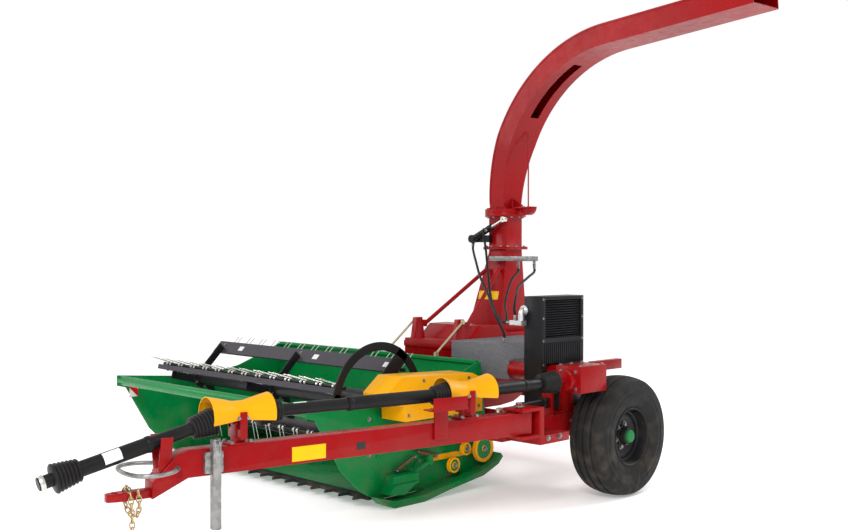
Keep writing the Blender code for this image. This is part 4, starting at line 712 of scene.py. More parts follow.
# %% The three guarded shafts
def shaft(name, start, end, body, node, extra=()):
    """A guard tube in two diameters with collars, replacing a CAD shaft."""
    start, end = Vector(start), Vector(end)
    run = (end - start).length
    bm = bmesh.new()
    add_lathe(bm, [(0.0, 0.0), (0.0, 0.030), (0.004, 0.0345), (run * 0.45, 0.0345), (run * 0.45, 0.0395),
                   (run * 0.45 + 0.004, 0.0400), (run - 0.004, 0.0400), (run, 0.036), (run, 0.0)],
              axis_frame(start, end), 40)
    for at in (run * 0.45, run * 0.90):
        add_lathe(bm, band(at - 0.014, at + 0.014, 0.030, 0.0435, 0.004, 0.002), axis_frame(start, end), 40,
                  closed=True)
    for a, b, radius in extra:
        add_lathe(bm, drum(0.0, (Vector(b) - Vector(a)).length, radius, 0.003), axis_frame(a, b), 32)
    publish(name, bm, body, black_plastic, "black_plastic", (node,))


STAND_FRONT, STAND_REAR = 1.950, 0.430          # bearing stands, ahead of the drawbar's pin
FRONT_SHAFT, SHAFT_DROP = 0.950, math.radians(14.0)
joint_place = Vector((0.0, -(STAND_FRONT + 0.0447), DRIVE_Z))
down_front = Vector((0.0, -math.cos(SHAFT_DROP), -math.sin(SHAFT_DROP)))
nose = joint_place + down_front * FRONT_SHAFT


def on_drawbar(*points):
    return [DRAWBAR @ Vector(point) for point in points]


a, b = on_drawbar(joint_place + down_front * 0.090, nose - down_front * 0.045)
shaft("front_shaft", a, b, "drawbar", "pto_shaft_front", [
    (*on_drawbar(joint_place, joint_place + down_front * 0.10), 0.018),
    (*on_drawbar(nose - down_front * 0.030, nose + down_front * 0.070), 0.034)])
bellows("front_shaft_nose", *on_drawbar(nose - down_front * 0.135, nose - down_front * 0.002), "drawbar")
bellows("front_shaft_boot", *on_drawbar(joint_place + down_front * 0.226, joint_place + down_front * 0.098),
        "drawbar")
bm = bmesh.new()
add_lathe(bm, [(0.0, 0.020), (0.0, 0.037), (0.006, 0.039), (0.018, 0.039), (0.024, 0.037), (0.024, 0.020)],
          axis_frame(*on_drawbar(nose + down_front * 0.040, nose + down_front * 0.064)), 32, closed=True)
publish("coupling_collar", bm, "drawbar", bright_steel, "zinc_steel")
front_end, rear_end = (0.0, -STAND_FRONT + 0.0403, DRIVE_Z), (0.0, -STAND_REAR - 0.0403, DRIVE_Z)
shaft("middle_shaft", *on_drawbar(front_end, rear_end), "drawbar", "pto_shaft_middle")
bellows("middle_boot_front", *on_drawbar((0, -1.700, DRIVE_Z), (0, -1.830, DRIVE_Z)), "drawbar")
bellows("middle_boot_rear", *on_drawbar((0, -0.680, DRIVE_Z), (0, -0.550, DRIVE_Z)), "drawbar")
gearbox_joint = Vector(JOINTS["rear_shaft_follow"]["pos_m"])
gearbox_joint.z = DRIVE_Z
low, high = (Vector(corner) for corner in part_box("pto_shaft_rear"))
shaft_front = Vector(((low.x + high.x) / 2, low.y, DRIVE_Z))
rear_way = (DRAWBAR @ Vector((0.0, -STAND_REAR + 0.060, DRIVE_Z)) - gearbox_joint).normalized()
rear_run = (shaft_front - gearbox_joint).length
shaft("rear_shaft_tube", gearbox_joint + rear_way * 0.070, gearbox_joint + rear_way * (rear_run - 0.082),
      "rear_shaft", "pto_shaft_rear", [
          (gearbox_joint + rear_way * (rear_run - 0.100), gearbox_joint + rear_way * (rear_run - 0.004),
           0.026),
          (gearbox_joint + rear_way * 0.012, gearbox_joint + rear_way * 0.090, 0.024)])
bellows("rear_boot", gearbox_joint + rear_way * 0.200, gearbox_joint + rear_way * 0.062, "rear_shaft",
        0.054, 0.070, 6)
print("shafts", round(rear_run, 3))

# %% Blank labels on the shafts and the drawbar
def plate(name, low, high, body, look, slot, frame):
    bm = bmesh.new()
    add_block(bm, low, high, frame, 0.0006)
    publish(name, bm, body, look, slot)


def wrap_label(name, start, end, radius, from_deg, to_deg, body, look):
    """A thin sticker bent round a shaft."""
    here = axis_frame(start, end)
    run = (Vector(end) - Vector(start)).length
    arc = [math.radians(from_deg + (to_deg - from_deg) * k / 10) for k in range(11)]
    rings = []
    for u in (0.0, run):
        outer = [here @ Vector((u, (radius + 0.0008) * math.cos(t),
                                (radius + 0.0008) * math.sin(t))) for t in arc]
        inner = [here @ Vector((u, (radius - 0.002) * math.cos(t), (radius - 0.002) * math.sin(t)))
                 for t in reversed(arc)]
        rings.append(outer + inner)
    bm = bmesh.new()
    add_loft(bm, rings)
    publish(name, bm, body, look, "zinc_steel", sharp=40.0)


wrap_label("front_label", *on_drawbar(nose - down_front * 0.34, nose - down_front * 0.25), 0.0400, -20, 75,
           "drawbar", plate_pale)
wrap_label("middle_label", *on_drawbar((0, -1.62, DRIVE_Z), (0, -1.54, DRIVE_Z)), 0.0345, 20, 110,
           "drawbar", plate_pale)
plate("drawbar_plate", (0.0545, -1.655, 0.575), (0.0565, -1.445, 0.655), "drawbar", plate_yellow,
      "yellow_guard", DRAWBAR)
plate("drawbar_emblem", (0.0545, -1.245, 0.598), (0.0560, -1.185, 0.640), "drawbar", plate_dark,
      "black_paint", DRAWBAR)
print("labels done")

# %% [markdown]
# ## Yellow hoods over the bearings
# Each hood is one rolled sheet, open below, narrow at the bearing and flared over the joint on both
# sides. The flare is a smooth curve, so the loft takes many stations along it, and the lips at the
# ends are a little thicker, as a rolled edge is.

# %% Hoods
def hood_radius(u):
    share = min(max((abs(u) - 0.040) / 0.138, 0.0), 1.0)
    return 0.0722 + (0.1058 - 0.0722) * share ** 0.85


def hood(name, at, node):
    stations = [-0.178, -0.174] + [-0.170 + 0.34 * k / 20 for k in range(21)] + [0.174, 0.178]
    arc = [math.radians(-20 + 220 * k / 40) for k in range(41)]
    rings = []
    for u in stations:
        radius = hood_radius(u)
        wall = 0.0050 if abs(u) > 0.171 else 0.0032
        outer = [(radius * math.cos(t), -at + u, DRIVE_Z + radius * math.sin(t)) for t in arc]
        inner = [((radius - wall) * math.cos(t), -at + u, DRIVE_Z + (radius - wall) * math.sin(t))
                 for t in reversed(arc)]
        rings.append(outer + inner)
    bm = bmesh.new()
    add_loft(bm, rings)
    publish(name, bm, "drawbar", yellow_enamel, "yellow_guard", (node,), DRAWBAR, 50.0)
    bolts(name + "_bolts", [((s * 0.0735, -at + v, DRIVE_Z - 0.012), (s, 0, 0))
                            for s in (-1, 1) for v in (-0.024, 0.024)], 0.013, "drawbar", frame=DRAWBAR)


hood("hood_front", STAND_FRONT, "cone_guard_front")
hood("hood_rear", STAND_REAR, "cone_guard_rear")
print("hoods done")

# %% [markdown]
# ## Hitch hoop, chain and jack
# The safety chain is looped over the tongue and its ends hang free. A link is an oval of round wire,
# and every second link is turned a quarter about the chain, which the tree does from the index.

# %% Chain
chain_tree = Tree("chain_links", [("Long", "Float"), ("Wide", "Float"), ("Wire", "Float")])
add, maths, given = chain_tree.add, chain_tree.maths, chain_tree.given
oval = add("GeometryNodeCurvePrimitiveCircle", Resolution=16, Radius=1.0)
oval = add("GeometryNodeTransform", Geometry=oval,
           Scale=chain_tree.vector(given["Long"], given["Wide"], 1.0))
link = chain_tree.wire(oval, given["Wire"])
way = add("GeometryNodeInputNamedAttribute", {"data_type": "FLOAT_VECTOR"}, Name="facing")
along = add("FunctionNodeAlignRotationToVector", {"axis": "X"}, Vector=way)
odd = maths("MODULO", add("GeometryNodeInputIndex"), 2.0)
quarter = add("FunctionNodeEulerToRotation", Euler=chain_tree.vector(x=maths("MULTIPLY", odd, math.pi / 2)))
turned_link = add("FunctionNodeRotateRotation", {"rotation_space": "LOCAL"}, Rotation=along,
                  Rotate_By=quarter)
chain_group = chain_tree.end(add("GeometryNodeInstanceOnPoints", Points=given["Geometry"], Instance=link,
                                 Rotation=turned_link))


def chain(name, route, body, frame, look, pitch=0.030):
    fine = smooth_route(route, 24)
    spots, gone, next_at = [], 0.0, 0.0
    for a, b in zip(fine, fine[1:]):
        step = (b - a).length
        while gone + step >= next_at:
            spots.append((a.lerp(b, (next_at - gone) / step), b - a))
            next_at += pitch
        gone += step
    return grow(name, chain_group, {"Long": 0.021, "Wide": 0.0125, "Wire": 0.0040}, body, look,
                "zinc_steel",
                spots_mesh(name, spots), frame, 60.0)


tip = -(2.250 + 0.190)
chain("safety_chain", [(0.046, tip - 0.10, 0.30), (0.050, tip - 0.105, 0.42), (0.046, tip - 0.110, 0.500),
                       (0.020, tip - 0.112, 0.535), (-0.020, tip - 0.112, 0.534),
                       (-0.048, tip - 0.110, 0.500),
                       (-0.050, tip - 0.100, 0.440), (-0.020, tip - 0.085, 0.395),
                       (0.025, tip - 0.070, 0.400),
                       (0.058, tip - 0.070, 0.455), (0.058, tip - 0.075, 0.530)], "drawbar", DRAWBAR,
      gold_zinc)
bm = bmesh.new()
root_y = tip + 0.125
hoop_side = [(0.0556, root_y), (0.085, root_y), (0.150, root_y - 0.060), (0.185, root_y - 0.150),
             (0.135, root_y - 0.235)]
hoop = [(x, y, 0.620) for x, y in hoop_side] + [(0, root_y - 0.262, 0.620)]
hoop += [(-x, y, 0.620) for x, y in reversed(hoop_side)]
add_tube(bm, smooth_route(hoop, 6), 0.0112, 16)
publish("hoop_pipe", bm, "drawbar", zinc, "zinc_steel", ("hitch_hoop",), DRAWBAR, 60.0)

# %% Jack head and handle, and the tongue's pin
jack_at = DRAWBAR @ Vector((0.0553 + 0.022 + 0.022, -2.120, 0.0))
bm = bmesh.new()
top = Matrix.Translation((jack_at.x, jack_at.y, 0.0)) @ Matrix.Rotation(DRAWBAR_YAW, 4, "Z")
add_lathe(bm,
          [(0.700, 0.0), (0.700, 0.0235), (0.706, 0.0255), (0.716, 0.0255), (0.722, 0.022), (0.728, 0.012),
               (0.750, 0.011), (0.754, 0.0)], top @ Matrix.Rotation(-math.pi / 2, 4, "Y"), 28)
add_tube(bm, [top @ Vector(p) for p in ((-0.039, 0, 0.741), (0.040, 0, 0.741), (0.053, 0, 0.738),
                                        (0.058, 0, 0.726), (0.058, 0, 0.690))], 0.0058, 12)
publish("jack_head", bm, "drawbar", zinc, "zinc_steel", sharp=50.0)
bolts("jack_bracket_bolts", facing(SIDEWAYS, [(0.079, -2.120 + v, z) for v in (-0.038, 0.038)
                             for z in (0.600, 0.660)]), 0.018, "drawbar", frame=DRAWBAR)
bolts("stand_bolts", facing(UP, [(s * 0.043, -at + v, 0.7125) for at in (STAND_FRONT, STAND_REAR)
                      for s in (-1, 1) for v in (-0.055, 0.055)]), 0.018, "drawbar", frame=DRAWBAR)
bolts("pin_nut", facing(UP, [(0, 0, 0.737)]), 0.040, "chassis",
      frame=Matrix.Translation((drawbar_pin.x, drawbar_pin.y, 0.0)))
print("hitch done")

# %% [markdown]
# ## Reel
# The reel carries three boards, and behind each a bar with double spring tines. The left end is a
# flat ring with broad spokes. The boards are folded along both edges, which keeps them stiff. A tine
# is one wire: a coil round the bar, then a straight finger, twice. A tree makes one double tine from
# a spiral and a line, and repeats it along the bar.

# %% Reel ring, tube and boards
REEL = Matrix.Translation(Vector(JOINTS["reel_spin"]["pos_m"]))
REEL_X0, REEL_X1 = -1.925, 0.385
RING_X = REEL_X1 - 0.020
PLATE = 0.012
reel_angles = [math.radians(46.0 + 120.0 * i) for i in range(3)]
bm = bmesh.new()
add_lathe(bm, drum(REEL_X0, REEL_X1, 0.068, 0.004), REEL, 48)
add_lathe(bm, drum(-2.000, 0.455, 0.030, 0.004, 0.002), REEL, 32)
add_lathe(bm, [(RING_X - PLATE, 0.3515), (RING_X - PLATE + 0.0015, 0.350), (RING_X - 0.0015, 0.350),
               (RING_X, 0.3515), (RING_X, 0.4085), (RING_X - 0.0015, 0.410),
               (RING_X - PLATE + 0.0015, 0.410),
               (RING_X - PLATE, 0.4085)], REEL, 96, closed=True)
spiders = [REEL_X0 + 0.120, (REEL_X0 + REEL_X1) / 2, RING_X - PLATE / 2]
for x in spiders:
    add_lathe(bm, band(x - 0.012, x + 0.012, 0.050, 0.098, 0.003), REEL, 48, closed=True)
    at_ring = x == spiders[-1]
    reach, width = (0.398, 0.100) if at_ring else (0.300, 0.060)
    for angle in reel_angles:
        add_block(bm, (x - PLATE / 2, 0.058, 0.0085), (x + PLATE / 2, reach, 0.008 + width),
                  REEL @ Matrix.Rotation(angle, 4, "X"), 0.002)
publish("reel_ring_and_tube", bm, "reel", black_enamel, "black_paint", ("reel_frame",))
joint_ring = [((x + s * 0.012, y, z), (s, 0, 0)) for x in spiders for y, z in in_a_circle(6, 0.084, 30)
              for s in (-1, 1)]
bolts("reel_joint_bolts", joint_ring, 0.016, "reel", frame=REEL)
BOARD = [(0.250, -0.008), (0.250, 0.006), (0.2515, 0.008), (0.3685, 0.008), (0.370, 0.0065),
         (0.370, -0.0285),
         (0.3685, -0.030), (0.3635, -0.030), (0.362, -0.0285), (0.362, -0.008)]
board_x0, board_x1 = REEL_X0, RING_X - PLATE - 0.0003

# %% Spring tines
tine_tree = Tree("spring_tines",
                 [*ROW_INPUTS, ("Coil radius", "Float"), ("Wire", "Float"), ("Reach", "Float"),
                                  ("Drop", "Float")])
add, maths, vector, given = tine_tree.add, tine_tree.maths, tine_tree.vector, tine_tree.given
coil = add("GeometryNodeCurveSpiral", Resolution=10, Rotations=3.0, Start_Radius=given["Coil radius"],
           End_Radius=given["Coil radius"], Height=0.024)
parts = []
for side in (-1, 1):
    parts.append(add("GeometryNodeTransform", Geometry=coil, Translation=vector(x=side * 0.022 - 0.012),
                     Rotation=vector(y=math.pi / 2)))
    root = vector(side * 0.022, 0.0, maths("MULTIPLY", given["Coil radius"], -1.0))
    point = vector(side * 0.026, given["Reach"], maths("MULTIPLY", given["Drop"], -1.0))
    parts.append(add("GeometryNodeCurvePrimitiveLine", Start=root, End=point))
double_tine = tine_tree.wire(tine_tree.join(*parts), given["Wire"], 5)
tine_group = tine_tree.end_row(double_tine)
TINE_COUNT = 13
tine_step = (board_x1 - board_x0) / TINE_COUNT
for number, angle in enumerate(reel_angles, 1):
    here = REEL @ Matrix.Rotation(angle, 4, "X")
    bm = bmesh.new()
    add_loft(bm, [[(x, y, z) for y, z in BOARD] for x in (board_x0, board_x1)])
    publish("reel_board_%d" % number, bm, "reel", board_enamel, "board_paint", ("reel_bat_%d" % number,),
            here,
            30.0)
    bm = bmesh.new()
    add_lathe(bm, drum(board_x0, board_x1, 0.014, 0.001), Matrix.Translation((0, 0.315, -0.042)), 20)
    for x in (board_x0 + 0.100, (board_x0 + board_x1) / 2 - 0.040, board_x1 - 0.060):
        add_block(bm, (x - 0.015, 0.300, -0.042), (x + 0.015, 0.330, -0.004), soften=0.002)
    publish("tine_bar_%d" % number, bm, "reel", black_enamel, "black_paint", (), here, 40.0)
    grow("tines_%d" % number, tine_group,
         {"Start": (board_x0 + tine_step / 2, 0.315, -0.042), "Step": (tine_step, 0.0, 0.0),
          "Count": TINE_COUNT, "Coil radius": 0.0185, "Wire": 0.0033, "Reach": 0.172, "Drop": 0.030},
         "reel", bright_steel, "zinc_steel", frame=here, sharp=60.0)
    bolts("board_bolts_%d" % number, facing(UP, [(x, 0.285 + v, 0.008) for v in (-0.018, 0.050)
                                      for x in (board_x0 + 0.100, (board_x0 + board_x1) / 2,
                                                board_x1 - 0.060)]),
          0.013, "reel", frame=here)
    for k, x in enumerate((-1.60, -0.62, 0.18)):
        plate("board_sticker_%d_%d" % (number, k), (x, 0.288, 0.0078), (x + 0.060, 0.332, 0.0086), "reel",
              plate_pale, "board_paint", here)
print("reel tines", 2 * TINE_COUNT * 3)

# %% [markdown]
# ## Spout
# The spout is a hollow box channel that stands on a slewing ring, bends over in one big arc and runs
# out straight. Its cross-section follows a rule along the path: it widens over the first stretch and
# gets flatter to the mouth. So the path comes first, then a ring of corners per station, inside and
# out. On the hollow side a slot is left open, and folded seams run along the outer edges.

# %% Spout path and sections
RING_Z, BEND_R, BEND_Z, ARM = 2.060, 1.290, 2.095, 1.300
RISE = math.radians(3.2)
WIDE, WIDE_LOW, WIDENS_OVER = 0.300, 0.200, 0.600
DEEP_LOW, DEEP_END, SPOUT_WALL = 0.175, 0.155, 0.005
SLOT_HALF = 0.048
ARC_STEPS, ARM_STEPS = 50, 10
path = [(0.0, RING_Z + 0.030, math.pi / 2), (0.0, BEND_Z, math.pi / 2)]
for i in range(1, ARC_STEPS + 1):
    slope = math.pi / 2 + (RISE - math.pi / 2) * i / ARC_STEPS
    path.append((BEND_R - BEND_R * math.sin(slope), BEND_Z + BEND_R * math.cos(slope), slope))
arc_end = path[-1]
for i in range(1, ARM_STEPS + 1):
    run = ARM * i / ARM_STEPS
    path.append((arc_end[0] + run * math.cos(RISE), arc_end[1] + run * math.sin(RISE), RISE))
whole = BEND_Z - RING_Z + (math.pi / 2 - RISE) * BEND_R + ARM
done, sections = 0.0, []
for (x, z, slope), (x0, z0, _) in zip(path, path[:1] + path):
    done += math.hypot(x - x0, z - z0)
    deep = (DEEP_LOW + (DEEP_END - DEEP_LOW) * min(done / whole, 1.0)) / 2
    half = (WIDE_LOW + (WIDE - WIDE_LOW) * min(done / WIDENS_OVER, 1.0)) / 2
    out = Vector((-math.sin(slope), 0.0, math.cos(slope)))
    sections.append((Vector((x, 0.0, z)), out, deep, half))
slot_from, slot_to = 1 + round(ARC_STEPS * 0.44), 1 + round(ARC_STEPS * 0.78)
print("spout path", round(whole, 3), "m,", len(sections), "sections")


# %% Spout shell
def section_ring(section, inset):
    """Six corners of one section: the convex side, then the hollow side with the slot's two edges."""
    place, out, deep, half = section
    slot = min(SLOT_HALF, half * 0.7)
    deep, half = deep - inset, half - inset
    around = [(deep, -half), (deep, half), (-deep, half), (-deep, slot), (-deep, -slot), (-deep, -half)]
    return [place + out * d + Vector((0.0, y, 0.0)) for d, y in around]


bm = bmesh.new()
outer = [[bm.verts.new(p) for p in section_ring(s, 0.0)] for s in sections]
inner = [[bm.verts.new(p) for p in section_ring(s, SPOUT_WALL)] for s in sections]
HOLLOW = 3                              # the strip between the slot's edges
for i in range(len(sections) - 1):
    open_here = slot_from <= i < slot_to
    for k in range(6):
        m = (k + 1) % 6
        if k == HOLLOW and open_here:
            continue
        bm.faces.new((outer[i][k], outer[i][m], outer[i + 1][m], outer[i + 1][k]))
        bm.faces.new((inner[i][m], inner[i][k], inner[i + 1][k], inner[i + 1][m]))
    if open_here:
        for k in (HOLLOW, HOLLOW + 1):
            bm.faces.new((outer[i][k], outer[i + 1][k], inner[i + 1][k], inner[i][k]))
for i in (slot_from, slot_to):
    bm.faces.new((outer[i][HOLLOW], outer[i][HOLLOW + 1], inner[i][HOLLOW + 1], inner[i][HOLLOW]))
for end in (0, -1):
    for k in range(6):
        m = (k + 1) % 6
        bm.faces.new((outer[end][k], outer[end][m], inner[end][m], inner[end][k]))
add_lathe(bm,
          [(RING_Z + 0.0005, 0.060), (RING_Z + 0.0005, 0.174), (RING_Z + 0.002, 0.175),
           (RING_Z + 0.029, 0.175),
               (RING_Z + 0.032, 0.172), (RING_Z + 0.032, 0.060)], Matrix.Rotation(-math.pi / 2, 4, "Y"), 72,
          closed=True)
for side in (-1, 1):
    strips = []
    for place, out, deep, half in sections[2:]:
        y0, y1 = side * (half - 0.001), side * (half + 0.0035)
        strips.append([place + out * (deep - d) + Vector((0.0, y, 0.0))
                       for d, y in ((0.0005, y0), (0.0005, y1), (0.016, y1), (0.016, y0))])
    add_loft(bm, strips)
last_place, last_out, last_deep, _ = sections[-1]
ahead = Vector((math.cos(RISE), 0.0, math.sin(RISE)))
flap_pin = last_place + last_out * (last_deep + 0.014) + ahead * 0.004
pin_frame = Matrix.Translation(flap_pin) @ Matrix.Rotation(-RISE, 4, "Y")
for y in (-WIDE / 2 + 0.008, WIDE / 2 - 0.008):
    add_block(bm, (-0.060, y - 0.008, -0.018), (0.003, y + 0.008, 0.002), pin_frame, 0.0015)
add_tube(bm, [flap_pin - Vector((0, WIDE / 2, 0)), flap_pin + Vector((0, WIDE / 2, 0))], 0.007, 16)
publish("spout_channel", bm, "spout", red_enamel, "red_paint", ("spout",), SPOUT, 30.0)
RING_BOLTS, RING_BOLT_R = 12, 0.150
ring_bolts = facing(UP, [(x, y, RING_Z + 0.0325) for x, y in in_a_circle(RING_BOLTS, RING_BOLT_R, 15)])
bolts("slewing_ring_bolts", ring_bolts, 0.019, "spout", red_enamel, "red_paint", SPOUT)
bolts("spout_gusset_bolts", facing(UP, [(0.245, s * 0.030, RING_Z + 0.0450) for s in (-1, 1)]), 0.016,
      "spout", frame=SPOUT)

# %% [markdown]
# ## Neck, duct and chopper details
# Flanged joints are what make welded boxes look like a machine: each has a row of bolts round its
# rim. The duct carries a blank yellow plate on its front, the slewing ring a clamp of bolts below.

# %% Flange bolts and blank plate
DUCT_X, DUCT_Y, NECK_HALF = -0.245, 0.615, 0.100
rim_z, rim_at = 1.760 + 0.0123, NECK_HALF + 0.018
rim_bolts = facing(UP, [(DUCT_X + x * rim_at, DUCT_Y + y * rim_at, rim_z)
             for x, y in [(-1, k) for k in (-0.9, 0.0, 0.9)] + [(1, k) for k in (-0.9, 0.0, 0.9)]
             + [(k, -1) for k in (-0.45, 0.45)] + [(k, 1) for k in (-0.45, 0.45)]])
bolts("neck_flange_bolts", rim_bolts, 0.017, "chassis", frame=MACHINE)
under_ring = facing(DOWN, [(DUCT_X + x, DUCT_Y + y, RING_Z - 0.0355)
                           for x, y in in_a_circle(RING_BOLTS, RING_BOLT_R)])
bolts("ring_clamp_bolts", under_ring, 0.017, "chassis", frame=MACHINE)
slope_run = (DUCT_Y - NECK_HALF - 0.345) / (1.730 - 1.060)


def duct_front(z):
    return 0.345 + slope_run * (z - 1.060)


tilt = math.atan(slope_run)
duct_face = MACHINE @ Matrix.Translation((0, duct_front(1.36), 1.36)) @ Matrix.Rotation(-tilt, 4, "X")
plate("duct_plate", (-0.375, -0.0016, -0.036), (-0.155, 0.0010, 0.036), "chassis", plate_yellow,
      "yellow_guard",
      duct_face)
bolts("duct_plate_rivets",
      facing(FORWARD, [(x, -0.0016, z) for x in (-0.365, -0.165) for z in (-0.027, 0.027)]),
      0.007, "chassis", frame=duct_face)
foot_bolts = facing(FORWARD, [(x, 0.3455 - 0.0005, 1.075) for x in (-0.42, -0.33, -0.24, -0.15, -0.09)])
bolts("duct_foot_bolts", foot_bolts, 0.016, "chassis", frame=MACHINE)

# %% Slewing cylinder
front = DUCT_Y - NECK_HALF
low_eye = Vector((DUCT_X - 0.230, front - 0.060, 1.840))
high_eye = Vector((DUCT_X + 0.120, front - 0.060, RING_Z - 0.060))
mouth = low_eye.lerp(high_eye, 0.62)
run = (mouth - low_eye).length
bm = bmesh.new()
line = axis_frame(low_eye, high_eye)
add_lathe(bm,
          [(0.0, 0.0), (0.0, 0.024), (0.006, 0.028), (0.020, 0.028), (0.022, 0.0265), (run - 0.040, 0.0265),
               (run - 0.038, 0.028), (run - 0.003, 0.028), (run, 0.025), (run, 0.0)], line, 32)
level = Matrix.Rotation(math.pi / 2, 4, "Z")
add_lathe(bm, drum(low_eye.y - 0.030, low_eye.y + 0.030, 0.034, 0.002),
          Matrix.Translation((low_eye.x, 0, low_eye.z)) @ level, 32)
add_block(bm, (low_eye.x - 0.015, front - 0.045, 1.810),
          (DUCT_X - NECK_HALF + 0.040, front - 0.0003, 1.870))
publish("slewing_cylinder_barrel", bm, "chassis", black_enamel, "cylinder_paint", ("slew_cylinder",),
        MACHINE)
bm = bmesh.new()
reach = (high_eye - low_eye).length
add_lathe(bm, [(run - 0.010, 0.0), (run - 0.010, 0.0135), (reach - 0.016, 0.0135), (reach - 0.016, 0.0)],
          line, 24)
add_lathe(bm, band(-0.018, 0.018, 0.008, 0.024, 0.002, 0.001), Matrix.Translation(high_eye) @ level, 28,
          closed=True)
publish("slewing_cylinder_rod", bm, "chassis", bright_steel, "zinc_steel", (), MACHINE)

# %% Swing cylinder of the drawbar
SWING_Z = 0.684
HITCH_PIN_X, HITCH_PIN_Y, LUG_REACH = 1.360, -1.100, 0.190
drawbar_eye = Vector((HITCH_PIN_X - LUG_REACH * math.cos(DRAWBAR_YAW),
                      HITCH_PIN_Y - LUG_REACH * math.sin(DRAWBAR_YAW), SWING_Z))
post_eye = Vector((1.120, -0.560, SWING_Z))
mouth = post_eye.lerp(drawbar_eye, 0.55)
run, reach = (mouth - post_eye).length, (drawbar_eye - post_eye).length
line = axis_frame(post_eye, drawbar_eye)
bm = bmesh.new()
add_lathe(bm,
          [(0.0, 0.0), (0.0, 0.026), (0.005, 0.030), (0.024, 0.030), (0.026, 0.028), (run - 0.040, 0.028),
               (run - 0.038, 0.030), (run - 0.003, 0.030), (run, 0.026), (run, 0.0)], line, 32)
upright = Matrix.Rotation(-math.pi / 2, 4, "Y")
add_lathe(bm, drum(-0.034, 0.034, 0.032, 0.002), Matrix.Translation(post_eye) @ upright, 28)
publish("swing_cylinder_barrel", bm, "chassis", black_enamel, "cylinder_paint", ("swing_cylinder",),
        MACHINE)
bm = bmesh.new()
add_lathe(bm, [(run - 0.010, 0.0), (run - 0.010, 0.0155), (reach - 0.020, 0.0155), (reach - 0.020, 0.0)],
          line, 24)
add_lathe(bm, band(-0.018, 0.018, 0.010, 0.028, 0.002, 0.001), Matrix.Translation(drawbar_eye) @ upright,
          28,
          closed=True)
publish("swing_cylinder_rod", bm, "chassis", bright_steel, "zinc_steel", (), MACHINE)
print("cylinders done")

# %% [markdown]
# ## Oil cooler
# The cooler is a black box with a recess of level louvres in its upper half and a pressed, ribbed
# panel below. Louvres and ribs are one tree: a block repeated along a step, tilted for louvres.

# %% Rows of slats
slat_tree = Tree("rows_of_slats", [*ROW_INPUTS, ("Size", "Vector"),
                                   ("Tilt", "Vector")])
block = slat_tree.add("GeometryNodeMeshCube", Size=slat_tree.given["Size"])
slat_group = slat_tree.end_row(slat_tree.add("GeometryNodeTransform", Geometry=block,
                                             Rotation=slat_tree.given["Tilt"]))
COOLER_FACE, COOLER_FRONT, COOLER_TOP = 1.000, -0.430, 1.405
rounded("oil_cooler")
grow("cooler_louvres", slat_group,
     {"Start": (COOLER_FACE - 0.014, COOLER_FRONT + 0.2525, COOLER_TOP - 0.290), "Step": (0.0, 0.0, 0.0172),
      "Count": 16, "Size": (0.020, 0.412, 0.0030), "Tilt": (0.0, 0.62, 0.0)}, "chassis", black_enamel,
     "black_paint", frame=MACHINE)
grow("cooler_ribs", slat_group,
     {"Start": (COOLER_FACE + 0.0015, COOLER_FRONT + 0.040, 1.000), "Step": (0.0, 0.0225, 0.0),
      "Count": 19, "Size": (0.0050, 0.0075, 0.150), "Tilt": (0.0, 0.0, 0.0)}, "chassis", black_enamel,
     "black_paint", frame=MACHINE)
bolts("cooler_screws", facing(SIDEWAYS, [(COOLER_FACE, COOLER_FRONT + y, z) for y in (0.020, 0.470)
                        for z in (0.70, 0.92, 1.09, 1.25, 1.385)]), 0.011, "chassis", frame=MACHINE)
bm = bmesh.new()
ex, ey, ez = 0.846, -0.470, 1.210
elbow = [(ex, ey, ez + 0.010), (ex, ey, ez + 0.060), (ex, ey + 0.004, ez + 0.082),
         (ex, ey + 0.014, ez + 0.092),
         (ex, COOLER_FRONT - 0.0003, ez + 0.095)]
add_tube(bm, smooth_route(elbow, 6), 0.0215, 24)
add_lathe(bm, [(-0.0143, 0.020), (-0.0143, 0.034), (-0.012, 0.036), (-0.002, 0.036), (-0.0003, 0.034),
               (-0.0003, 0.020)],
          Matrix.Translation((ex, COOLER_FRONT, ez + 0.095)) @ Matrix.Rotation(math.pi / 2, 4, "Z"),
          32, closed=True)
add_block(bm, (ex - 0.085, ey - 0.030, ez - 0.012), (ex + 0.026, ey + 0.030, ez + 0.022))
publish("elbow_and_manifold", bm, "chassis", elbow_metal, "zinc_steel", ("cooler_elbow",), MACHINE)
print("cooler done")

# %% [markdown]
# ## Hydraulic hoses
# A hose is a fixed length of something springy that is held at both ends. Each one leaves its port
# straight, droops between, and meets the next port straight. They go over the CAD's own routes, as
# curves with a round section, and a crimped steel sleeve finishes each end.

# %% Hoses and sleeves
HOSE_R = 0.010


def hose(name, route, node):
    fine = smooth_route(route, 5)
    curve = bpy.data.curves.new(name, "CURVE")
    curve.dimensions = "3D"
    curve.bevel_depth = HOSE_R
    curve.bevel_resolution = 4
    curve.use_fill_caps = True
    spline = curve.splines.new("POLY")
    spline.points.add(len(fine) - 1)
    places = [MACHINE @ point for point in fine]
    for point, place in zip(spline.points, places):
        point.co = (*place, 1.0)
    spline.use_smooth = True
    curve.materials.append(hose_rubber)
    made = bpy.data.objects.new(name, curve)
    bpy.context.scene.collection.objects.link(made)
    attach(made, "chassis")
    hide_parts(node)
    bm = bmesh.new()
    for a, b in ((places[0], places[1]), (places[-1], places[-2])):
        add_lathe(bm, [(0.0, 0.0), (0.0, 0.0125), (0.002, 0.0145), (0.010, 0.0145), (0.012, 0.0125),
                       (0.034, 0.0125), (0.037, 0.0110), (0.037, 0.0)], axis_frame(a, b), 20)
    sleeves = publish(name + "_sleeves", bm, "chassis", zinc, "zinc_steel")
    length = sum((b - a).length for a, b in zip(places, places[1:]))
    tuple(places[0])
    PIECES[name] = made
    print(name, round(length, 3), "m")


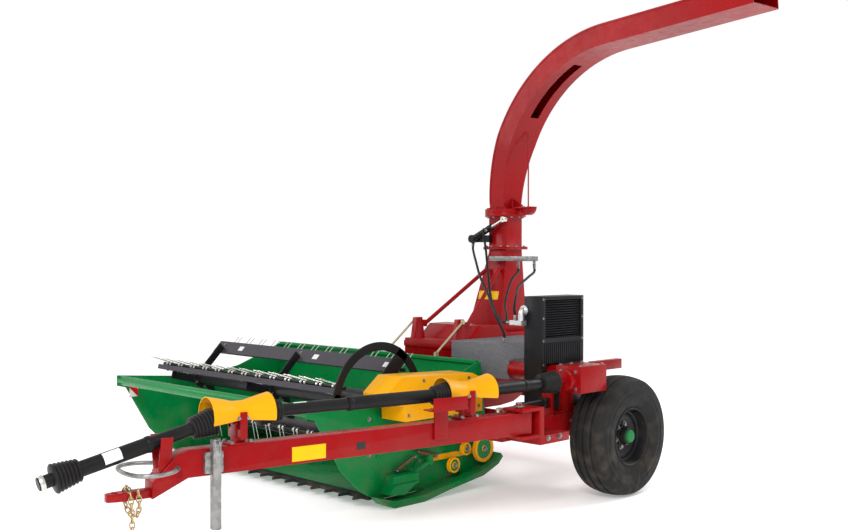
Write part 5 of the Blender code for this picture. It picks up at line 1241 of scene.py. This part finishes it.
port_y, port_z = front - 0.080, 1.6245
near, far = 0.050, 0.222
left = ex - 0.0855
port_x = ex - 0.057
hose("valve_hose_near", [
    (near, port_y, port_z), (near, port_y, port_z - 0.060), (0.150, 0.240, 1.500), (0.300, 0.010, 1.405),
    (0.450, -0.190, 1.318), (0.620, -0.370, 1.262), (left - 0.060, ey + 0.014, ez + 0.004),
    (left, ey + 0.014, ez + 0.004)], "hose_valve_near")
hose("valve_hose_far", [
    (far, port_y, port_z), (far, port_y, port_z - 0.060), (0.330, 0.240, 1.530), (0.470, -0.040, 1.470),
    (0.620, -0.250, 1.435), (0.730, -0.390, 1.395), (port_x - 0.008, ey, ez + 0.110),
    (port_x, ey, ez + 0.060),
    (port_x, ey, ez + 0.0225)], "hose_valve_far")
base_z = 1.840 - 0.0345
hose("cylinder_hose_base", [
    (low_eye.x, low_eye.y, base_z), (low_eye.x, low_eye.y, base_z - 0.060), (-0.270, 0.270, 1.640),
    (-0.040, 0.070, 1.520), (0.220, -0.130, 1.400), (0.480, -0.340, 1.280), (0.640, -0.450, 1.222),
    (left - 0.060, ey - 0.014, ez + 0.004), (left, ey - 0.014, ez + 0.004)], "hose_cylinder_base")
rod_port = (DUCT_X - 0.050, low_eye.y - 0.0285, 1.908)
hose("cylinder_hose_rod", [
    rod_port, (rod_port[0], rod_port[1] - 0.040, rod_port[2]), (-0.190, 0.300, 1.760),
    (-0.060, 0.180, 1.600),
    (0.120, 0.010, 1.400), (0.260, -0.100, 1.260), (0.390, -0.180, 1.170), (0.450, -0.200, 1.105),
    (0.450, -0.200, 1.0355)], "hose_cylinder_rod")

# %% [markdown]
# ## Header details
# The near side sheet carries the drives: a belt over three pulleys, wedge plates, two springs and
# bolts. The knife bar has pointed guards in a row, and a striped reflector sits on the far sheet.

# %% Pulleys, springs and plates
SHEET_FACE = 0.430 + 0.010
PULLEYS = ((-0.815, 0.200, 0.055), (-0.690, 0.300, 0.045), (-0.500, 0.280, 0.100))
bm = bmesh.new()
for y, z, radius in PULLEYS:
    here = MACHINE @ Matrix.Translation((SHEET_FACE, y, z))
    add_lathe(bm,
              [(0.0505, 0.014), (0.0505, radius - 0.004), (0.053, radius), (0.058, radius),
               (0.063, radius - 0.012),
                   (0.072, radius - 0.012), (0.077, radius), (0.082, radius), (0.0845, radius - 0.004),
                   (0.0845, radius * 0.80), (0.076, radius * 0.76), (0.076, 0.024), (0.0845, 0.021),
                   (0.0845, 0.014)], here, 48, closed=True)
add_block(bm, (SHEET_FACE + 0.0003, -0.980, 0.240), (SHEET_FACE + 0.012, -0.450, 0.280), MACHINE, 0.002)
publish("pulley_rims", bm, "header", yellow_enamel, "yellow_guard", ("belt_pulleys",))
bm = bmesh.new()
for y, z, radius in PULLEYS:
    here = MACHINE @ Matrix.Translation((SHEET_FACE, y, z))
    add_lathe(bm, [(0.0740, 0.018), (0.0740, radius * 0.74), (0.0775, radius * 0.74), (0.0775, 0.018)],
              here, 40,
              closed=True)
    add_lathe(bm, [(0.004, 0.0), (0.004, 0.018), (0.088, 0.018), (0.090, 0.016), (0.090, 0.0)], here, 24)
    add_block(bm, (SHEET_FACE + 0.0006, y - 0.030, min(z, 0.25) - 0.020),
              (SHEET_FACE + 0.0118, y + 0.030, max(z, 0.27) + 0.020), MACHINE, 0.002)
publish("pulley_faces_and_mounts", bm, "header", green_enamel, "green_paint")
bolts("pulley_nuts", facing(SIDEWAYS, [(SHEET_FACE + 0.090, y, z) for y, z, _ in PULLEYS]), 0.022, "header",
      frame=MACHINE)
spring_tree = Tree("coil_spring",
                   [("Turns", "Float"), ("Coil radius", "Float"), ("Long", "Float"), ("Wire", "Float")])
given = spring_tree.given
coil = spring_tree.add("GeometryNodeCurveSpiral", Resolution=16, Rotations=given["Turns"],
                       Start_Radius=given["Coil radius"], End_Radius=given["Coil radius"],
                       Height=given["Long"])
spring_group = spring_tree.end(spring_tree.wire(coil, given["Wire"], 8))
for number, (a, b) in enumerate((((0.475, -1.130, 0.330), (0.475, -0.960, 0.285)),
                                 ((0.475, -1.330, 0.235), (0.475, -1.180, 0.300)))):
    a, b = Vector(a), Vector(b)
    stand = Matrix.Translation(a) @ (b - a).to_track_quat("Z", "X").to_matrix().to_4x4()
    grow("tension_spring_%d" % number, spring_group,
         {"Turns": 13.0, "Coil radius": 0.015, "Long": (b - a).length, "Wire": 0.0028}, "header",
         spring_steel,
         "zinc_steel", frame=MACHINE @ stand, sharp=60.0)
    bm = bmesh.new()
    for end, back in ((a, b), (b, a)):
        out = (end - back).normalized()
        add_tube(bm, [end - out * 0.010, end + out * 0.016], 0.0045, 10)
        add_tube(bm, [end + out * 0.012 - Vector((0.034, 0, 0)), end + out * 0.012 + Vector((0.012, 0, 0))],
                 0.007, 12)
    publish("spring_hooks_%d" % number, bm, "header", zinc, "zinc_steel", (), MACHINE)
sheet_bolts = [(-1.56, 0.60), (-1.56, 0.36), (-1.05, 0.60), (-0.92, 0.55), (-0.62, 0.66), (-0.62, 0.46),
               (-0.44, 0.46), (-1.36, 0.42), (-1.20, 0.42), (-0.98, 0.40), (-1.30, 0.10), (-0.80, 0.12)]
bolts("side_sheet_bolts", facing(SIDEWAYS, [(SHEET_FACE, y, z) for y, z in sheet_bolts]), 0.019, "header",
      frame=MACHINE)
bm = bmesh.new()
for y0, y1, z in ((-1.50, -1.34, 0.335), (-1.16, -1.00, 0.215), (-0.90, -0.72, 0.385)):
    rings = [[(x, y0, z), (x, y1, z + 0.030), (x, y1, z + 0.075), (x, y0 + 0.05, z + 0.055)]
             for x in (SHEET_FACE + 0.0002, SHEET_FACE + 0.008)]
    add_loft(bm, rings)
publish("wedge_plates", bm, "header", green_enamel, "green_paint", (), MACHINE, 25.0)
bolts("wedge_bolts", facing(SIDEWAYS, [(SHEET_FACE + 0.008, y, z) for y, z in
                      ((-1.44, 0.378), (-1.38, 0.390), (-1.10, 0.258), (-1.03, 0.268), (-0.83, 0.430),
                       (-0.76, 0.438))]), 0.016, "header", frame=MACHINE)
bolts("belt_guard_bolts", facing(SIDEWAYS, [(0.700, y, z) for y, z in
                           ((-1.44, 0.640), (-1.10, 0.630), (-0.76, 0.640), (-1.30, 0.860),
                            (-0.86, 0.845))]),
      0.014, "header", frame=MACHINE)

# %% Knife guards and reflectors
finger_tree = Tree("knife_guards", [*ROW_INPUTS, ("Long", "Float")])
finger = finger_tree.add("GeometryNodeMeshCone", Vertices=10, Radius_Top=0.0035, Radius_Bottom=0.016,
                         Depth=finger_tree.given["Long"])
finger_group = finger_tree.end_row(finger_tree.add(
    "GeometryNodeTransform", Geometry=finger, Rotation=finger_tree.vector(x=math.pi / 2),
    Scale=finger_tree.vector(1.2, 1.0, 0.52)))
grow("knife_guards", finger_group,
     {"Start": (-1.895, -1.535, 0.0655), "Step": (0.150, 0.0, 0.0), "Count": 16,
                                    "Long": 0.095}, "header", black_enamel, "black_paint", frame=MACHINE)
rounded("cutter_bar", 0.001)
plate("far_reflector", (-1.9702, -1.990, 0.560), (-1.9680, -1.915, 0.665), "header", reflector, "red_paint",
      MACHINE)
rounded("push_rail", 0.0015)

# %% Chopper, gearbox and frame details
GEARBOX_X = 1.330
lid_bolts = facing(UP, [(-0.270 + s * 0.285, y, 1.0605) for s in (-1, 1) for y in (0.10, 0.20, 0.30)])
bolts("chopper_lid_bolts", lid_bolts, 0.018, "chassis", frame=MACHINE)
bolts("gearbox_bolts", facing(UP, [(GEARBOX_X + x, -0.400 + y, DRIVE_Z + 0.095) for x in (-0.085, 0.085)
                        for y in (-0.125, -0.005, 0.115)]), 0.018, "chassis", frame=MACHINE)
flange = facing(FORWARD, [(GEARBOX_X + 1.1 * x, -0.5503, DRIVE_Z + z)
                           for x, z in in_a_circle(4, 0.080, 45)])
bolts("snout_bolts", flange, 0.016, "chassis", frame=MACHINE)
bolts("frame_bolts", facing(SIDEWAYS, [(1.1653, y, 0.535) for y in (-0.90, -0.80, -0.30, 0.05, 0.15)]),
      0.022,
      "chassis", frame=MACHINE)
bracket_face = HITCH_PIN_X + 0.085
bolts("pin_bracket_bolts", facing(SIDEWAYS, [(bracket_face, -0.990 + v, 0.520) for v in (0.08, 0.20)]),
      0.022,
      "chassis", frame=MACHINE)
print("details done")

# %% [markdown]
# ## A pale studio
# A plain wide floor and a white world give the same clean look from every angle. What the camera
# sees of the world is white, but the machine is lit by a dimmer one, so that three soft area lights
# still model the shapes: a key from the front left, a fill from the right and a rim from behind.

# %% Floor, world and lights
FLOOR_HALF, SKY_SEEN, SKY_LIGHT = 60.0, 1.0, 0.78
floor_mesh = bpy.data.meshes.new("floor")
sheet = bmesh.new()
bmesh.ops.create_grid(sheet, x_segments=1, y_segments=1, size=FLOOR_HALF)
sheet.to_mesh(floor_mesh)
sheet.free()
floor = bpy.data.objects.new("floor", floor_mesh)
bpy.context.scene.collection.objects.link(floor)
floor_look = bpy.data.materials.new("studio_floor")
floor_look.use_nodes = True
floor_shader = floor_look.node_tree.nodes["Principled BSDF"]
floor_shader.inputs["Base Color"].default_value = (0.96, 0.96, 0.96, 1.0)
floor_shader.inputs["Roughness"].default_value = 0.9
floor_shader.inputs["Specular IOR Level"].default_value = 0.1
floor_shader.inputs["Emission Color"].default_value = (1.0, 1.0, 1.0, 1.0)
floor_shader.inputs["Emission Strength"].default_value = 0.28
floor_mesh.materials.append(floor_look)

world = bpy.data.worlds.new("studio")
world.use_nodes = True
world.node_tree.nodes["Background"].inputs["Color"].default_value = (1.0, 1.0, 1.0, 1.0)
backdrop = world.node_tree.nodes["Background"]
ray = world.node_tree.nodes.new("ShaderNodeLightPath")
sky = world.node_tree.nodes.new("ShaderNodeMapRange")
sky.inputs["To Min"].default_value = SKY_LIGHT
sky.inputs["To Max"].default_value = SKY_SEEN
world.node_tree.links.new(ray.outputs["Is Camera Ray"], sky.inputs["Value"])
world.node_tree.links.new(sky.outputs["Result"], backdrop.inputs["Strength"])
bpy.context.scene.world = world
bpy.context.scene.view_settings.view_transform = "Standard"


def area_light(name, place, target, power, size):
    data = bpy.data.lights.new(name, "AREA")
    data.energy = power
    data.size = size
    made = bpy.data.objects.new(name, data)
    made.location = place
    made.rotation_euler = (Vector(target) - Vector(place)).to_track_quat("-Z", "Y").to_euler()
    bpy.context.scene.collection.objects.link(made)
    return made


area_light("key_light", (5.5, -6.5, 6.5), (0.0, 0.0, 1.0), 520.0, 3.0)
area_light("fill_light", (-6.5, -4.0, 4.5), (0.0, 0.0, 1.0), 140.0, 4.0)
area_light("rim_light", (3.0, 7.0, 6.0), (0.0, 0.5, 1.5), 260.0, 4.0)

# %% [markdown]
# ## Count the pieces
# The number of pieces made is printed.
# The dressed machine must stay inside the imported model's box, so both boxes are written down.

# %% Piece count
print("pieces", len(PIECES))
